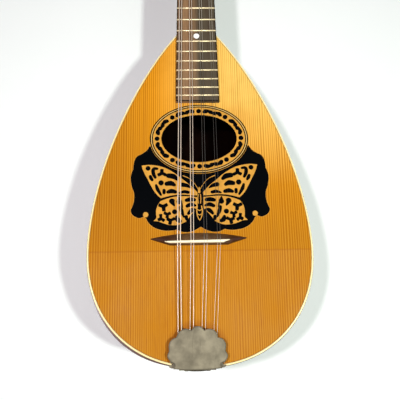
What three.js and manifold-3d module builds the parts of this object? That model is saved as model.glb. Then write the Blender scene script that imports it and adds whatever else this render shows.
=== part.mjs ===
// Bowlback mandolin, in millimetres. X runs to the treble side, Y from the front into the bowl and Z up
// the neck. The origin is on the centre line where the neck meets the headstock.
import * as THREE from 'three';
import { mergeVertices } from 'three/addons/utils/BufferGeometryUtils.js';
import Module from 'manifold-3d';

const wasm = await Module();
wasm.setup();

// Strings and scale
const scaleLength = 340;
const fretCount = 16;
const octaveFrets = 12;
const courses = [
  { note: 'g', gauge: 0.9, wire: 'bronze' },
  { note: 'd', gauge: 0.63, wire: 'bronze' },
  { note: 'a', gauge: 0.38, wire: 'steel' },
  { note: 'e', gauge: 0.28, wire: 'steel' },
];
const stringsPerCourse = 2;
const courseGapAtSaddle = 11.05;
const pairGapAtSaddle = 2.3;
const courseGapAtNut = 8.6;
const pairGapAtNut = 2;
const courseGapAtHooks = 9.4;
const pairGapAtHooks = 2.9;
const stringSides = 6;
const slotClearance = 0.15;

// Body outline
const bodyHalfWidth = 95.8;
const bodyJoinWidth = 37.6;
const bodyTop = 201.1;
const bendBelowSaddle = 7.3;
const tailBelowSaddle = 102;
const cantAngle = 5;
const roundnessPower = 2.17;
const shoulderRise = 73.2;
const shoulderReach = 56.4;
const shoulderSlopeShare = { x: 0.642, z: 0.766 };
const edgeSteps = 12;
const edgeProbeShare = 1e-4;

// Soundboard and its edge
const boardThickness = 2.6;
const bindingWidth = 2;
const glueGap = 0.3;
const liningWidth = 5;
const liningDepth = 8;

// Sound hole, rosette, pickguard and its inlay
const holeWidth = 67.2;
const holeHeight = 45.2;
const rosetteWidth = 87.9;
const rosetteHeight = 66.4;
const rosetteBelowFingerboard = 1.6;
const inlaySetOver = 0.7;
const inlayThickness = 0.4;
const sharpestCornerShare = 0.5;
const ovalSides = 18;
const pickguardHalfWidth = 60.7;
const pickguardAboveSaddle = 7.6;
const pickguardSteps = 3;
const pickguardShares = [
  [[0.726, 0.067], [0.834, 0.154], [0.946, 0.224], [0.964, 0.323]],
  [[0.964, 0.323], [1, 0.428], [0.946, 0.622], [0.99, 0.764], [0.85, 0.848], [0.77, 0.858]],
  [[0.77, 0.858], [0.743, 0.892], [0.468, 0.982], [0.338, 0.97]],
  [[0.338, 0.97], [0.178, 1], [0, 0.947]],
];
const butterflyHalfSpan = 49.8;
const butterflyHeightShare = 1.029;
const butterflyTopShare = 1.159;
const butterflySteps = 3;
const butterflyShares = [
  [[0, 0.38], [0.05, 0.47]],
  [[0.05, 0.47], [0.37, 0.2], [0.72, 0.02], [1, 0.01]],
  [[1, 0.01], [0.87, 0.32], [0.66, 0.57]],
  [[0.66, 0.57], [0.73, 0.71], [0.77, 0.93]],
  [[0.77, 0.93], [0.5, 1], [0.22, 0.92], [0.05, 0.74]],
  [[0.05, 0.74], [0, 0.92]],
];

// Bowl
const bowlDepth = 138;
const heelDepth = 36;
const ribCount = 9;
const ribWall = 1.5;
const ribSeam = 0.3;
const ribFacets = 3;
const upperSteps = 8;
const lowerSteps = 8;
const lastRibShare = 1.95;
const neckBlockLength = 26;
const tailBlockLength = 22;
const tailBlockHalfWidth = 30;
const tailBlockDepth = 44;
const braceWidth = 6;
const braceDepth = 13;
const upperBraceShare = 0.35;
const lowerBraceShare = 0.71;

// Neck and headstock
const neckWidthAtNut = 32.6;
const neckDepthAtNut = 17.5;
const neckDepthAtHeel = 20.5;
const heelSweep = 8;
const neckSteps = 11;
const neckFacets = 10;
const neckSpacingPower = 0.5;
const headstockTilt = 13;
const headstockThickness = 14;
const headstockHalfWidth = 33;
const headstockLength = 138;
const headstockSteps = 4;
const headstockShares = [
  [[0.79, -0.05], [0.79, 0]],
  [[0.79, 0], [0.93, 0.1], [0.93, 0.4], [1, 0.8], [0.93, 0.87]],
  [[0.93, 0.87], [0.8, 0.955], [0.5, 0.93]],
  [[0.5, 0.93], [0.28, 0.985], [0, 1]],
];

// Fingerboard and nut
const fingerboardWidthAtNut = 33.2;
const fingerboardWidthAtEnd = 39.4;
const fingerboardThickness = 4;
const fingerboardTrim = 1.8;
const fretWidth = 1.2;
const fretHeight = 1;
const fretCrownShare = 0.45;
const fretInset = 0.5;
const nutDepth = 5;
const nutHeight = 5.6;

// Bridge
const bridgeLength = 80.8;
const bridgeTailEdge = 48.8;
const bridgeNeckEdge = 42.6;
const bridgeTailSide = 2.6;
const bridgeNeckSide = 6;
const bridgeTipAbove = 3;
const bridgeSetOver = -1.3;
const bridgeHeight = 9.5;
const bridgeSeatHeight = 6.6;
const bridgeEdgeHeight = 2.2;
const bridgeLevelLength = 58;
const saddleTailSide = 2.1;
const saddleNeckSide = 1.7;
const saddleTopLength = 56.6;
const saddleLowLength = 46.8;

// Tailpiece
const tailpieceSetOver = -3.9;
const tailPlateWidth = 40;
const tailPlateTop = 66;
const tailPlateThickness = 1;
const tailFlangeWidth = 30;
const tailFlangeDrop = 24;
const tailScrewRadius = 2.4;
const tailScrewHeight = 1;
const tailScrewShares = [[-0.6, 0.35], [0.6, 0.35], [0, 0.72]];
const hookRow = 84;
const hookHeight = 4.4;
const hookWidth = 1.2;
const hookDepth = 2;
const stringAtHook = 3.2;
const coverHalfWidth = 24.1;
const coverTop = 61.6;
const coverLength = 33.2;
const coverThickness = 0.9;
const coverHeight = 9.4;
const coverSteps = 3;
const skirtWidth = 1;
const skirtLength = 16;
const skirtMiddleShare = 0.62;
const skirtClearance = 0.6;
const coverShares = [
  [[0, 0], [0.13, 0.01], [0.23, 0.075]],
  [[0.23, 0.075], [0.43, 0.06], [0.61, 0.15], [0.69, 0.26]],
  [[0.69, 0.26], [0.85, 0.32], [0.925, 0.42], [0.93, 0.575]],
  [[0.93, 0.575], [1, 0.68], [0.93, 0.8], [0.79, 0.86]],
  [[0.79, 0.86], [0.91, 0.95], [0.755, 0.985]],
  [[0.755, 0.985], [0, 1]],
];

// Tuning machines
const postSpots = [30, 53, 76, 99];
const postSetOut = 20;
const postRadius = 3;
const postWaistRadius = 2.4;
const postReach = 10.5;
const stringAbovePost = 6;
const postSides = 8;
const screwSides = 6;
const holeClearance = 0.4;
const plateThickness = 1;
const plateInner = 8;
const plateOuter = 10;
const plateMargin = 5;
const collarRadius = 4;
const gearTeeth = 14;
const gearPitchRadius = 6.3;
const gearTipRadius = 6.8;
const gearRootRadius = 5.3;
const toothTipHalf = 0.45;
const toothRootHalf = 0.85;
const gearWidth = 2.8;
const gearScrewRadius = 3;
const gearScrewHeight = 1.4;
const wormPitchRadius = 3;
const wormTipRadius = 3.6;
const wormCoreRadius = 2;
const threadTipHalf = 0.36;
const threadRootHalf = 0.78;
const threadSunk = 0.4;
const threadReach = 3.7;
const threadStartShare = 0.75;
const threadSteps = 8;
const shaftSides = 7;
const coreReach = 4.9;
const journalRadius = 1.5;
const lugOffset = 5.3;
const lugThickness = 1.2;
const lugHalfWidth = 3;
const lugWall = 1.2;
const plateScrewRadius = 1.7;
const plateScrewHeight = 0.8;
const plateScrewSetOut = 7.6;
const buttonStart = 14.5;
const buttonLength = 11;
const buttonHalfHeight = 8;
const buttonFlatShare = 0.55;
const buttonBore = 6;
const buttonSides = 10;
const buttonShares = [[0.4, 0], [0.9, 0.3], [1, 0.6], [0.8, 0.9], [0.4, 1]];

// Finishes
const finishes = {
  spruce: { color: 0xd08a32, roughness: 0.35, metalness: 0 },
  cream: { color: 0xf3e4b8, roughness: 0.45, metalness: 0 },
  guard: { color: 0x15191a, roughness: 0.25, metalness: 0 },
  golden: { color: 0xc9a04c, roughness: 0.3, metalness: 0.2 },
  maple: { color: 0x7d4421, roughness: 0.35, metalness: 0 },
  bareWood: { color: 0xc9a679, roughness: 0.8, metalness: 0 },
  mahogany: { color: 0x6a3a20, roughness: 0.4, metalness: 0 },
  rosewood: { color: 0x3a2319, roughness: 0.5, metalness: 0 },
  bone: { color: 0xefe3c4, roughness: 0.5, metalness: 0 },
  nickel: { color: 0xa9a295, roughness: 0.35, metalness: 1 },
  brass: { color: 0xb08d4a, roughness: 0.35, metalness: 1 },
  steel: { color: 0xb9b6ae, roughness: 0.3, metalness: 1 },
  bronze: { color: 0xb98f5e, roughness: 0.35, metalness: 1 },
};

// Places worked out from the sizes above
const quarter = Math.PI / 2;
const radians = THREE.MathUtils.degToRad;
const bodyTopZ = bodyTop - scaleLength;
const bendZ = -scaleLength - bendBelowSaddle;
const tailZ = -scaleLength - tailBelowSaddle;
const nextFret = scaleLength * (1 - 2 ** (-(fretCount + 1) / octaveFrets));
const fingerboardEnd = nextFret - fingerboardTrim;
const holeZ = -fingerboardEnd - rosetteBelowFingerboard - rosetteHeight / 2;
const neckBlockEnd = bodyTopZ - neckBlockLength;
const pickguardEnd = pickguardAboveSaddle - scaleLength;
const inlayRoom = holeZ - rosetteHeight / 2 - pickguardEnd;
const rimDepth = boardThickness + glueGap;
const insideWall = ribWall + glueGap;
const liningInset = bindingWidth + glueGap;
const wormCentre = gearPitchRadius + wormPitchRadius;
const wormLead = (2 * Math.PI * gearPitchRadius) / gearTeeth;
const plateBack = headstockThickness + glueGap + plateThickness;
const gearMiddle = plateBack + wormTipRadius + glueGap;
const overrun = 2 * scaleLength;

const instrument = new THREE.Group();
const headstockFrame = new THREE.Group();
headstockFrame.position.z = nutDepth;
headstockFrame.rotation.x = -radians(headstockTilt);
const tailFrame = new THREE.Group();
tailFrame.position.z = bendZ;
tailFrame.rotation.x = radians(cantAngle);
instrument.add(headstockFrame, tailFrame);

function place(name, geometry, finish, parent = instrument) {
  const mesh = new THREE.Mesh(geometry, new THREE.MeshStandardMaterial(finishes[finish]));
  mesh.name = name;
  parent.add(mesh);
}

// Solids: joining and cutting closed meshes
function solid(geometry) {
  const bare = geometry.clone();
  bare.deleteAttribute('normal');
  bare.deleteAttribute('uv');
  const merged = mergeVertices(bare);
  return new wasm.Manifold(new wasm.Mesh({
    numProp: 3,
    vertProperties: Float32Array.from(merged.attributes.position.array),
    triVerts: Uint32Array.from(merged.index.array),
  }));
}

function geometryOf(body) {
  const mesh = body.getMesh();
  const geometry = new THREE.BufferGeometry();
  geometry.setAttribute('position', new THREE.BufferAttribute(mesh.vertProperties, 3));
  geometry.setIndex(new THREE.BufferAttribute(mesh.triVerts, 1));
  geometry.computeVertexNormals();
  return geometry;
}

function closedMesh(points, triangles) {
  const geometry = new THREE.BufferGeometry().setFromPoints(points);
  geometry.setIndex(triangles);
  geometry.computeVertexNormals();
  return geometry;
}

function block(xRange, yRange, zRange) {
  const size = [xRange, yRange, zRange].map(([low, high]) => high - low);
  const middle = [xRange, yRange, zRange].map(([low, high]) => (low + high) / 2);
  return new THREE.BoxGeometry(...size).translate(...middle);
}

// A shape drawn in X and Z, as thick as from the front Y to the back Y
function plate(shape, front, back) {
  const geometry = new THREE.ExtrudeGeometry(shape, { depth: back - front, bevelEnabled: false });
  const axes = [new THREE.Vector3(1, 0, 0), new THREE.Vector3(0, 0, 1), new THREE.Vector3(0, -1, 0)];
  return geometry.applyMatrix4(new THREE.Matrix4().makeBasis(...axes)).translate(0, back, 0);
}

// A profile drawn in Y and Z, as long as from the low X to the high X
function bar(shape, low, high) {
  const geometry = new THREE.ExtrudeGeometry(shape, { depth: high - low, bevelEnabled: false });
  const axes = [new THREE.Vector3(0, 1, 0), new THREE.Vector3(0, 0, 1), new THREE.Vector3(1, 0, 0)];
  return geometry.applyMatrix4(new THREE.Matrix4().makeBasis(...axes)).translate(low, 0, 0);
}

function polygon(points) {
  return new THREE.Shape(points.map(([x, y]) => new THREE.Vector2(x, y)));
}

function oval(width, height, centreZ, x = 0) {
  const shape = new THREE.Shape();
  shape.absellipse(x, centreZ, width / 2, height / 2, 0, 2 * Math.PI);
  return new THREE.Shape(shape.getPoints(ovalSides));
}

// Smooth runs through points given as shares of a half width and a drop, mirrored about x
function mirrored(runs, halfWidth, drop, top, steps, x = 0) {
  const half = [];
  for (const run of runs) {
    const points = run.map(([across, down]) => new THREE.Vector2(across * halfWidth, top - down * drop));
    const curve = new THREE.SplineCurve(points);
    const count = run.length > 2 ? steps * (run.length - 1) : 1;
    half.push(...curve.getPoints(count).slice(half.length ? 1 : 0));
  }
  const other = half.filter((point) => point.x > glueGap).reverse();
  const left = other.map((point) => new THREE.Vector2(x - point.x, point.y));
  return new THREE.Shape([...half.map((point) => new THREE.Vector2(x + point.x, point.y)), ...left]);
}

function boardSurface(z) {
  return Math.max(0, (bendZ - z) * Math.tan(radians(cantAngle)));
}

// A plate that leans back below the bend
function bentPlate(shape, front, back) {
  const low = -2 * overrun;
  const profile = polygon([
    [front, overrun],
    [front, bendZ],
    [front + boardSurface(low), low],
    [back + boardSurface(low), low],
    [back, bendZ],
    [back, overrun],
  ]);
  return solid(plate(shape, -overrun, overrun)).intersect(solid(bar(profile, -overrun, overrun)));
}

// Edge of the body: share 0 is the corner at the neck, 1 the widest line and 2 the tail
const upperEdge = new THREE.CubicBezierCurve(
  new THREE.Vector2(bodyJoinWidth / 2, bodyTopZ),
  new THREE.Vector2(
    bodyJoinWidth / 2 + shoulderReach * shoulderSlopeShare.x,
    bodyTopZ - shoulderReach * shoulderSlopeShare.z,
  ),
  new THREE.Vector2(bodyHalfWidth, bendZ + shoulderRise),
  new THREE.Vector2(bodyHalfWidth, bendZ),
);

function rounded(value) {
  return Math.sign(value) * Math.abs(value) ** (2 / roundnessPower);
}

function edgePoint(share) {
  if (share <= 1) {
    return upperEdge.getPoint(share);
  }
  const angle = (share - 1) * quarter;
  const z = bendZ - (bendZ - tailZ) * rounded(Math.sin(angle));
  return new THREE.Vector2(bodyHalfWidth * Math.max(0, rounded(Math.cos(angle))), z);
}

function edgeNormal(share) {
  const step = edgeProbeShare;
  const before = edgePoint(Math.max(0, share - step));
  const after = edgePoint(Math.min(2, share + step));
  const along = after.sub(before).normalize();
  return new THREE.Vector2(-along.y, along.x);
}

function insetPoint(share, inset) {
  const point = edgePoint(share).addScaledVector(edgeNormal(share), -inset);
  return point.setX(share === 2 ? 0 : point.x);
}

function edgeLoop(inset) {
  const right = [];
  for (let step = 0; step <= 2 * edgeSteps; step += 1) {
    right.push(insetPoint(step / edgeSteps, inset));
  }
  const left = right.slice(0, -1).reverse().map((point) => new THREE.Vector2(-point.x, point.y));
  return [...right, ...left];
}

function panel(inset) {
  return new THREE.Shape(edgeLoop(inset));
}

function strip(outerInset, innerInset) {
  return new THREE.Shape([...edgeLoop(outerInset), ...edgeLoop(innerInset).reverse()]);
}

// Bowl surface: a share along the edge, a turn from the treble rim round the back, and an inset
function depthAt(share) {
  const width = edgePoint(share).x;
  if (share > 1) {
    return (bowlDepth * width) / bodyHalfWidth;
  }
  const start = bodyJoinWidth / 2;
  return heelDepth + ((bowlDepth - heelDepth) * (width - start)) / (bodyHalfWidth - start);
}

function bowlPoint(share, turn, inset) {
  const normal = edgeNormal(share);
  const edge = edgePoint(share).addScaledVector(normal, -inset);
  const depth = depthAt(share) - inset * normal.x;
  const back = rimDepth + boardSurface(edge.y) + depth * rounded(Math.sin(turn));
  return new THREE.Vector3(edge.x * rounded(Math.cos(turn)), back, edge.y);
}

function bowlStations() {
  const stations = [];
  for (let step = 0; step <= upperSteps; step += 1) {
    stations.push(step / upperSteps);
  }
  for (let step = 1; step < lowerSteps; step += 1) {
    stations.push(1 + step / lowerSteps);
  }
  return [...stations, lastRibShare];
}

// Triangles between closed rings of points from the top down, each counterclockwise seen from above
function ringSides(rings) {
  const count = rings[0].length;
  const triangles = [];
  for (let row = 0; row + 1 < rings.length; row += 1) {
    for (let column = 0; column < count; column += 1) {
      const next = (column + 1) % count;
      const [a, b] = [row * count + column, (row + 1) * count + column];
      const [c, d] = [row * count + next, (row + 1) * count + next];
      triangles.push(a, b, d, a, d, c);
    }
  }
  return triangles;
}

// A solid with convex ends
function loft(rings) {
  const count = rings[0].length;
  const triangles = ringSides(rings);
  const last = (rings.length - 1) * count;
  for (let column = 1; column + 1 < count; column += 1) {
    triangles.push(0, column, column + 1, last, last + column + 1, last + column);
  }
  return closedMesh(rings.flat(), triangles);
}

// The room inside the ribs, as a solid
function bowlRoom(inset) {
  const rings = bowlStations().map((share) => {
    const ring = [];
    for (let rib = 0; rib <= ribCount; rib += 1) {
      ring.push(bowlPoint(share, (Math.PI * rib) / ribCount, inset));
    }
    return ring;
  });
  return solid(loft(rings));
}

function bowlRib(index) {
  const ring = (share) => {
    const radius = (edgePoint(share).x + depthAt(share)) / 2;
    const trim = ribSeam / 2 / radius;
    const start = (Math.PI * index) / ribCount + (index > 0 ? trim : 0);
    const end = (Math.PI * (index + 1)) / ribCount - (index + 1 < ribCount ? trim : 0);
    const outer = [];
    const inner = [];
    for (let facet = 0; facet <= ribFacets; facet += 1) {
      const turn = start + ((end - start) * facet) / ribFacets;
      outer.push(bowlPoint(share, turn, 0));
      inner.unshift(bowlPoint(share, turn, ribWall));
    }
    return [...outer, ...inner];
  };
  return closedShell(bowlStations().map(ring));
}

// A strip of shell: rings that run out along the outer face and back along the inner one
function closedShell(rings) {
  const count = rings[0].length;
  const triangles = ringSides(rings);
  const last = (rings.length - 1) * count;
  for (let column = 0; column + 1 < count / 2; column += 1) {
    const [a, b, c, d] = [column, column + 1, count - 2 - column, count - 1 - column];
    triangles.push(a, b, c, a, c, d);
    triangles.push(last + a, last + c, last + b, last + a, last + d, last + c);
  }
  return closedMesh(rings.flat(), triangles);
}

function makeBody() {
  const hole = solid(plate(oval(holeWidth, holeHeight, holeZ, inlaySetOver), -overrun, overrun));
  const board = bentPlate(panel(bindingWidth + glueGap), 0, boardThickness).subtract(hole);
  place('soundboard', geometryOf(board), 'spruce');
  place('binding', geometryOf(bentPlate(strip(0, bindingWidth), 0, boardThickness)), 'cream');

  const room = bowlRoom(insideWall);
  const liningBack = rimDepth + liningDepth;
  const lining = bentPlate(strip(liningInset, liningInset + liningWidth), rimDepth, liningBack);
  place('rim_lining', geometryOf(lining), 'bareWood');

  for (let index = 0; index < ribCount; index += 1) {
    place(`bowl_rib_${index + 1}`, bowlRib(index), 'maple');
  }

  const neckZone = block([-overrun, overrun], [liningBack + glueGap, overrun], [neckBlockEnd, overrun]);
  place('neck_block', geometryOf(room.intersect(solid(neckZone))), 'bareWood');

  const tailZone = polygon([
    [-tailBlockHalfWidth, tailZ],
    [tailBlockHalfWidth, tailZ],
    [tailBlockHalfWidth, tailZ + tailBlockLength],
    [-tailBlockHalfWidth, tailZ + tailBlockLength],
  ]);
  const tailBlock = bentPlate(tailZone, liningBack + glueGap, tailBlockDepth).intersect(room);
  place('tail_block', geometryOf(tailBlock), 'bareWood');

  const inside = solid(plate(panel(liningInset + liningWidth + glueGap), 0, overrun));
  const lerp = THREE.MathUtils.lerp;
  const braceSpots = {
    brace_upper: lerp(holeZ + holeHeight / 2, neckBlockEnd, upperBraceShare),
    brace_lower: lerp(-scaleLength, holeZ - holeHeight / 2, lowerBraceShare),
  };
  for (const [name, z] of Object.entries(braceSpots)) {
    const length = block(
      [-overrun, overrun],
      [rimDepth, rimDepth + braceDepth],
      [z - braceWidth / 2, z + braceWidth / 2],
    );
    place(name, geometryOf(solid(length).intersect(inside)), 'bareWood');
  }
}

function makeInlays() {
  const outer = solid(plate(oval(rosetteWidth, rosetteHeight, holeZ, inlaySetOver), -inlayThickness, 0));
  const inner = solid(plate(oval(holeWidth, holeHeight, holeZ, inlaySetOver), -overrun, overrun));
  place('rosette', geometryOf(outer.subtract(inner)), 'golden');

  const butterfly = mirrored(
    butterflyShares,
    butterflyHalfSpan,
    inlayRoom * butterflyHeightShare,
    pickguardEnd + inlayRoom * butterflyTopShare,
    butterflySteps,
    inlaySetOver,
  );
  place('butterfly_inlay', plate(butterfly, -inlayThickness, 0), 'golden');

  const guardShape = mirrored(
    pickguardShares,
    pickguardHalfWidth,
    holeZ - pickguardEnd,
    holeZ,
    pickguardSteps,
    inlaySetOver,
  );
  const ringWidth = rosetteWidth + 2 * glueGap;
  const ringHeight = rosetteHeight + 2 * glueGap;
  const ring = solid(plate(oval(ringWidth, ringHeight, holeZ, inlaySetOver), -overrun, overrun));
  const wings = solid(plate(grown(butterfly, glueGap), -overrun, overrun));
  const guard = solid(plate(guardShape, -inlayThickness, 0)).subtract(ring).subtract(wings);
  place('pickguard', geometryOf(guard), 'guard');
}

// A shape with its outline moved out by a distance
function grown(shape, distance) {
  const points = shape.getPoints();
  const count = points.length;
  const clockwise = THREE.ShapeUtils.isClockWise(points) ? -1 : 1;
  return new THREE.Shape(points.map((point, index) => {
    const before = points[(index + count - 1) % count];
    const after = points[(index + 1) % count];
    const first = point.clone().sub(before).normalize();
    const second = after.clone().sub(point).normalize();
    const normal = new THREE.Vector2(first.y + second.y, -first.x - second.x).normalize();
    const reach = distance / Math.max(sharpestCornerShare, normal.x * second.y - normal.y * second.x);
    return point.clone().addScaledVector(normal, clockwise * reach);
  }));
}

function makeNeck() {
  const rings = [];
  const heelZ = bodyTopZ + glueGap;
  for (let step = 0; step <= neckSteps; step += 1) {
    const share = (step / neckSteps) ** neckSpacingPower;
    const z = heelZ * share;
    const halfWidth = THREE.MathUtils.lerp(neckWidthAtNut, bodyJoinWidth, share) / 2;
    const shaft = THREE.MathUtils.lerp(neckDepthAtNut, neckDepthAtHeel, share);
    const depth = shaft + (rimDepth + heelDepth - neckDepthAtHeel) * share ** heelSweep;
    const ring = [new THREE.Vector3(halfWidth, 0, z)];
    for (let facet = 0; facet <= neckFacets; facet += 1) {
      const turn = (Math.PI * facet) / neckFacets;
      const back = rimDepth + (depth - rimDepth) * rounded(Math.sin(turn));
      ring.push(new THREE.Vector3(halfWidth * rounded(Math.cos(turn)), back, z));
    }
    ring.push(new THREE.Vector3(-halfWidth, 0, z));
    rings.push(ring);
  }
  const shaft = solid(loft(rings));

  const outline = mirrored(headstockShares, headstockHalfWidth, -headstockLength, 0, headstockSteps);
  headstockFrame.updateMatrix();
  const slab = plate(outline, 0, headstockThickness).applyMatrix4(headstockFrame.matrix);
  const aboveNut = solid(block([-overrun, overrun], [0, overrun], [0, overrun]));
  let neck = solid(slab).intersect(aboveNut).add(shaft);
  for (const { x, z } of postPlaces()) {
    const bore = cylinder(postRadius + holeClearance, -overrun, overrun).translate(x, 0, z);
    neck = neck.subtract(solid(bore.applyMatrix4(headstockFrame.matrix)));
  }
  place('neck', geometryOf(neck), 'mahogany');
}

// A round bar along Y
function cylinder(radius, low, high, sides = postSides) {
  const geometry = new THREE.CylinderGeometry(radius, radius, high - low, sides);
  return geometry.translate(0, (low + high) / 2, 0);
}

function makeFingerboard() {
  const slope = (fingerboardWidthAtEnd - fingerboardWidthAtNut) / 2 / fingerboardEnd;
  const halfWidthAt = (distance) => fingerboardWidthAtNut / 2 + slope * distance;
  const wood = polygon([
    [-halfWidthAt(0), 0],
    [-halfWidthAt(fingerboardEnd), -fingerboardEnd],
    [halfWidthAt(fingerboardEnd), -fingerboardEnd],
    [halfWidthAt(0), 0],
  ]);
  let board = solid(plate(wood, -fingerboardThickness, 0));
  for (let fret = 1; fret <= fretCount; fret += 1) {
    const distance = scaleLength * (1 - 2 ** (-fret / octaveFrets));
    const top = -fingerboardThickness - fretHeight;
    const crown = (fretWidth * fretCrownShare) / 2;
    const profile = polygon([
      [-fingerboardThickness + fretHeight, -distance - fretWidth / 2],
      [top, -distance - crown],
      [top, -distance + crown],
      [-fingerboardThickness + fretHeight, -distance + fretWidth / 2],
    ].reverse());
    const halfLength = halfWidthAt(distance) - fretInset;
    board = board.add(solid(bar(profile, -halfLength, halfLength)));
  }
  place('fingerboard', geometryOf(board), 'rosewood');
}

// Strings in order from the bass side, with their places across the nut, the saddle and the hooks
function stringList() {
  const list = [];
  courses.forEach(({ note, gauge, wire }, course) => {
    for (let pair = 0; pair < stringsPerCourse; pair += 1) {
      const spread = (courseGap, pairGap) => {
        const fromCentre = course - (courses.length - 1) / 2;
        return fromCentre * courseGap + (pair - (stringsPerCourse - 1) / 2) * pairGap;
      };
      list.push({
        name: `${note}${pair + 1}`,
        radius: gauge / 2,
        nutX: spread(courseGapAtNut, pairGapAtNut),
        saddleX: spread(courseGapAtSaddle, pairGapAtSaddle) + bridgeSetOver,
        hookX: spread(courseGapAtHooks, pairGapAtHooks) + tailpieceSetOver,
        wire,
      });
    }
  });
  return list;
}

// The posts run up each side, and the outermost string goes to the lowest one
function postPlaces() {
  return stringList().map(({ name }, index, list) => {
    const bass = index < list.length / 2;
    const fromEdge = bass ? index : list.length - 1 - index;
    return { name, x: bass ? -postSetOut : postSetOut, z: postSpots[fromEdge], side: bass ? -1 : 1 };
  });
}

// A top edge with a slot for each string, drawn in X and Y
function slotted(low, high, foot, top, place) {
  const points = [[low, foot], [low, top]];
  for (const string of stringList()) {
    const half = string.radius + slotClearance;
    const x = string[place];
    points.push([x - half, top], [x - half, top + half], [x + half, top + half], [x + half, top]);
  }
  return polygon([...points, [high, top], [high, foot]]);
}

function makeNut() {
  const half = neckWidthAtNut / 2;
  const shape = slotted(-half, half, 0, -nutHeight, 'nutX');
  const nut = new THREE.ExtrudeGeometry(shape, { depth: nutDepth, bevelEnabled: false });
  place('nut', nut, 'bone');
}

function makeBridge() {
  const at = (x, above) => [bridgeSetOver + x, above - scaleLength];
  const plan = polygon([
    at(-bridgeLength / 2, bridgeTipAbove),
    at(-bridgeTailEdge / 2, -bridgeTailSide),
    at(bridgeTailEdge / 2, -bridgeTailSide),
    at(bridgeLength / 2, bridgeTipAbove),
    at(bridgeNeckEdge / 2, bridgeNeckSide),
    at(-bridgeNeckEdge / 2, bridgeNeckSide),
  ]);
  const section = polygon([
    [0, -bridgeTailSide - scaleLength],
    [0, bridgeNeckSide - scaleLength],
    [-bridgeEdgeHeight, bridgeNeckSide - scaleLength],
    [-bridgeSeatHeight, saddleNeckSide + glueGap - scaleLength],
    [-bridgeSeatHeight, -bridgeTailSide - scaleLength],
  ]);
  const front = polygon([
    [bridgeSetOver - bridgeLength / 2, 0],
    [bridgeSetOver + bridgeLength / 2, 0],
    [bridgeSetOver + bridgeLength / 2, -bridgeEdgeHeight],
    [bridgeSetOver + bridgeLevelLength / 2, -bridgeSeatHeight],
    [bridgeSetOver - bridgeLevelLength / 2, -bridgeSeatHeight],
    [bridgeSetOver - bridgeLength / 2, -bridgeEdgeHeight],
  ]);
  const length = bridgeTailSide + bridgeNeckSide;
  const elevation = new THREE.ExtrudeGeometry(front, { depth: length, bevelEnabled: false });
  elevation.translate(0, 0, -scaleLength - bridgeTailSide);
  const base = solid(plate(plan, -bridgeSeatHeight, 0))
    .intersect(solid(bar(section, -overrun, overrun)))
    .intersect(solid(elevation));
  place('bridge_base', geometryOf(base), 'rosewood');

  const half = saddleTopLength / 2;
  const low = bridgeSetOver - half;
  const high = bridgeSetOver + half;
  const top = slotted(low, high, -bridgeSeatHeight, -bridgeHeight, 'saddleX');
  const width = saddleTailSide + saddleNeckSide;
  const bone = new THREE.ExtrudeGeometry(top, { depth: width, bevelEnabled: false });
  bone.translate(0, 0, -scaleLength - saddleTailSide);
  const saddlePlan = polygon([
    at(-saddleLowLength / 2, -saddleTailSide),
    at(saddleLowLength / 2, -saddleTailSide),
    at(half, saddleNeckSide),
    at(-half, saddleNeckSide),
  ]);
  const saddle = solid(bone).intersect(solid(plate(saddlePlan, -overrun, overrun)));
  place('bridge_saddle', geometryOf(saddle), 'bone');
}

// A path through its corner points, with one step for each stretch
class CornerPath extends THREE.Curve {
  constructor(corners) {
    super();
    this.corners = corners;
  }

  getPoint(share) {
    const along = share * (this.corners.length - 1);
    const index = Math.min(Math.floor(along), this.corners.length - 2);
    return this.corners[index].clone().lerp(this.corners[index + 1], along - index);
  }

  getPointAt(share) {
    return this.getPoint(share);
  }

  getTangentAt(share) {
    return this.getTangent(share);
  }
}

function makeStrings() {
  const posts = postPlaces();
  headstockFrame.updateMatrix();
  tailFrame.updateMatrix();
  stringList().forEach((string, index) => {
    const post = posts[index];
    const hook = new THREE.Vector3(string.hookX, -stringAtHook, -hookRow + hookWidth / 2 + glueGap);
    const offset = post.side * (postRadius + glueGap + string.radius);
    const end = new THREE.Vector3(post.x - offset, -stringAbovePost, post.z);
    const corners = [
      hook.applyMatrix4(tailFrame.matrix),
      new THREE.Vector3(string.saddleX, -bridgeHeight, -scaleLength - saddleTailSide - slotClearance),
      new THREE.Vector3(string.saddleX, -bridgeHeight, -scaleLength + saddleNeckSide + slotClearance),
      new THREE.Vector3(string.nutX, -nutHeight, -slotClearance),
      new THREE.Vector3(string.nutX, -nutHeight, nutDepth + slotClearance),
      end.applyMatrix4(headstockFrame.matrix),
    ];
    const ring = new THREE.Shape();
    ring.absarc(0, 0, string.radius, 0, 2 * Math.PI);
    const section = new THREE.Shape(ring.getPoints(stringSides / 2).slice(0, -1));
    const wire = new THREE.ExtrudeGeometry(section, {
      steps: corners.length - 1,
      extrudePath: new CornerPath(corners),
    });
    place(`string_${string.name}`, wire, string.wire);
  });
}

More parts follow.
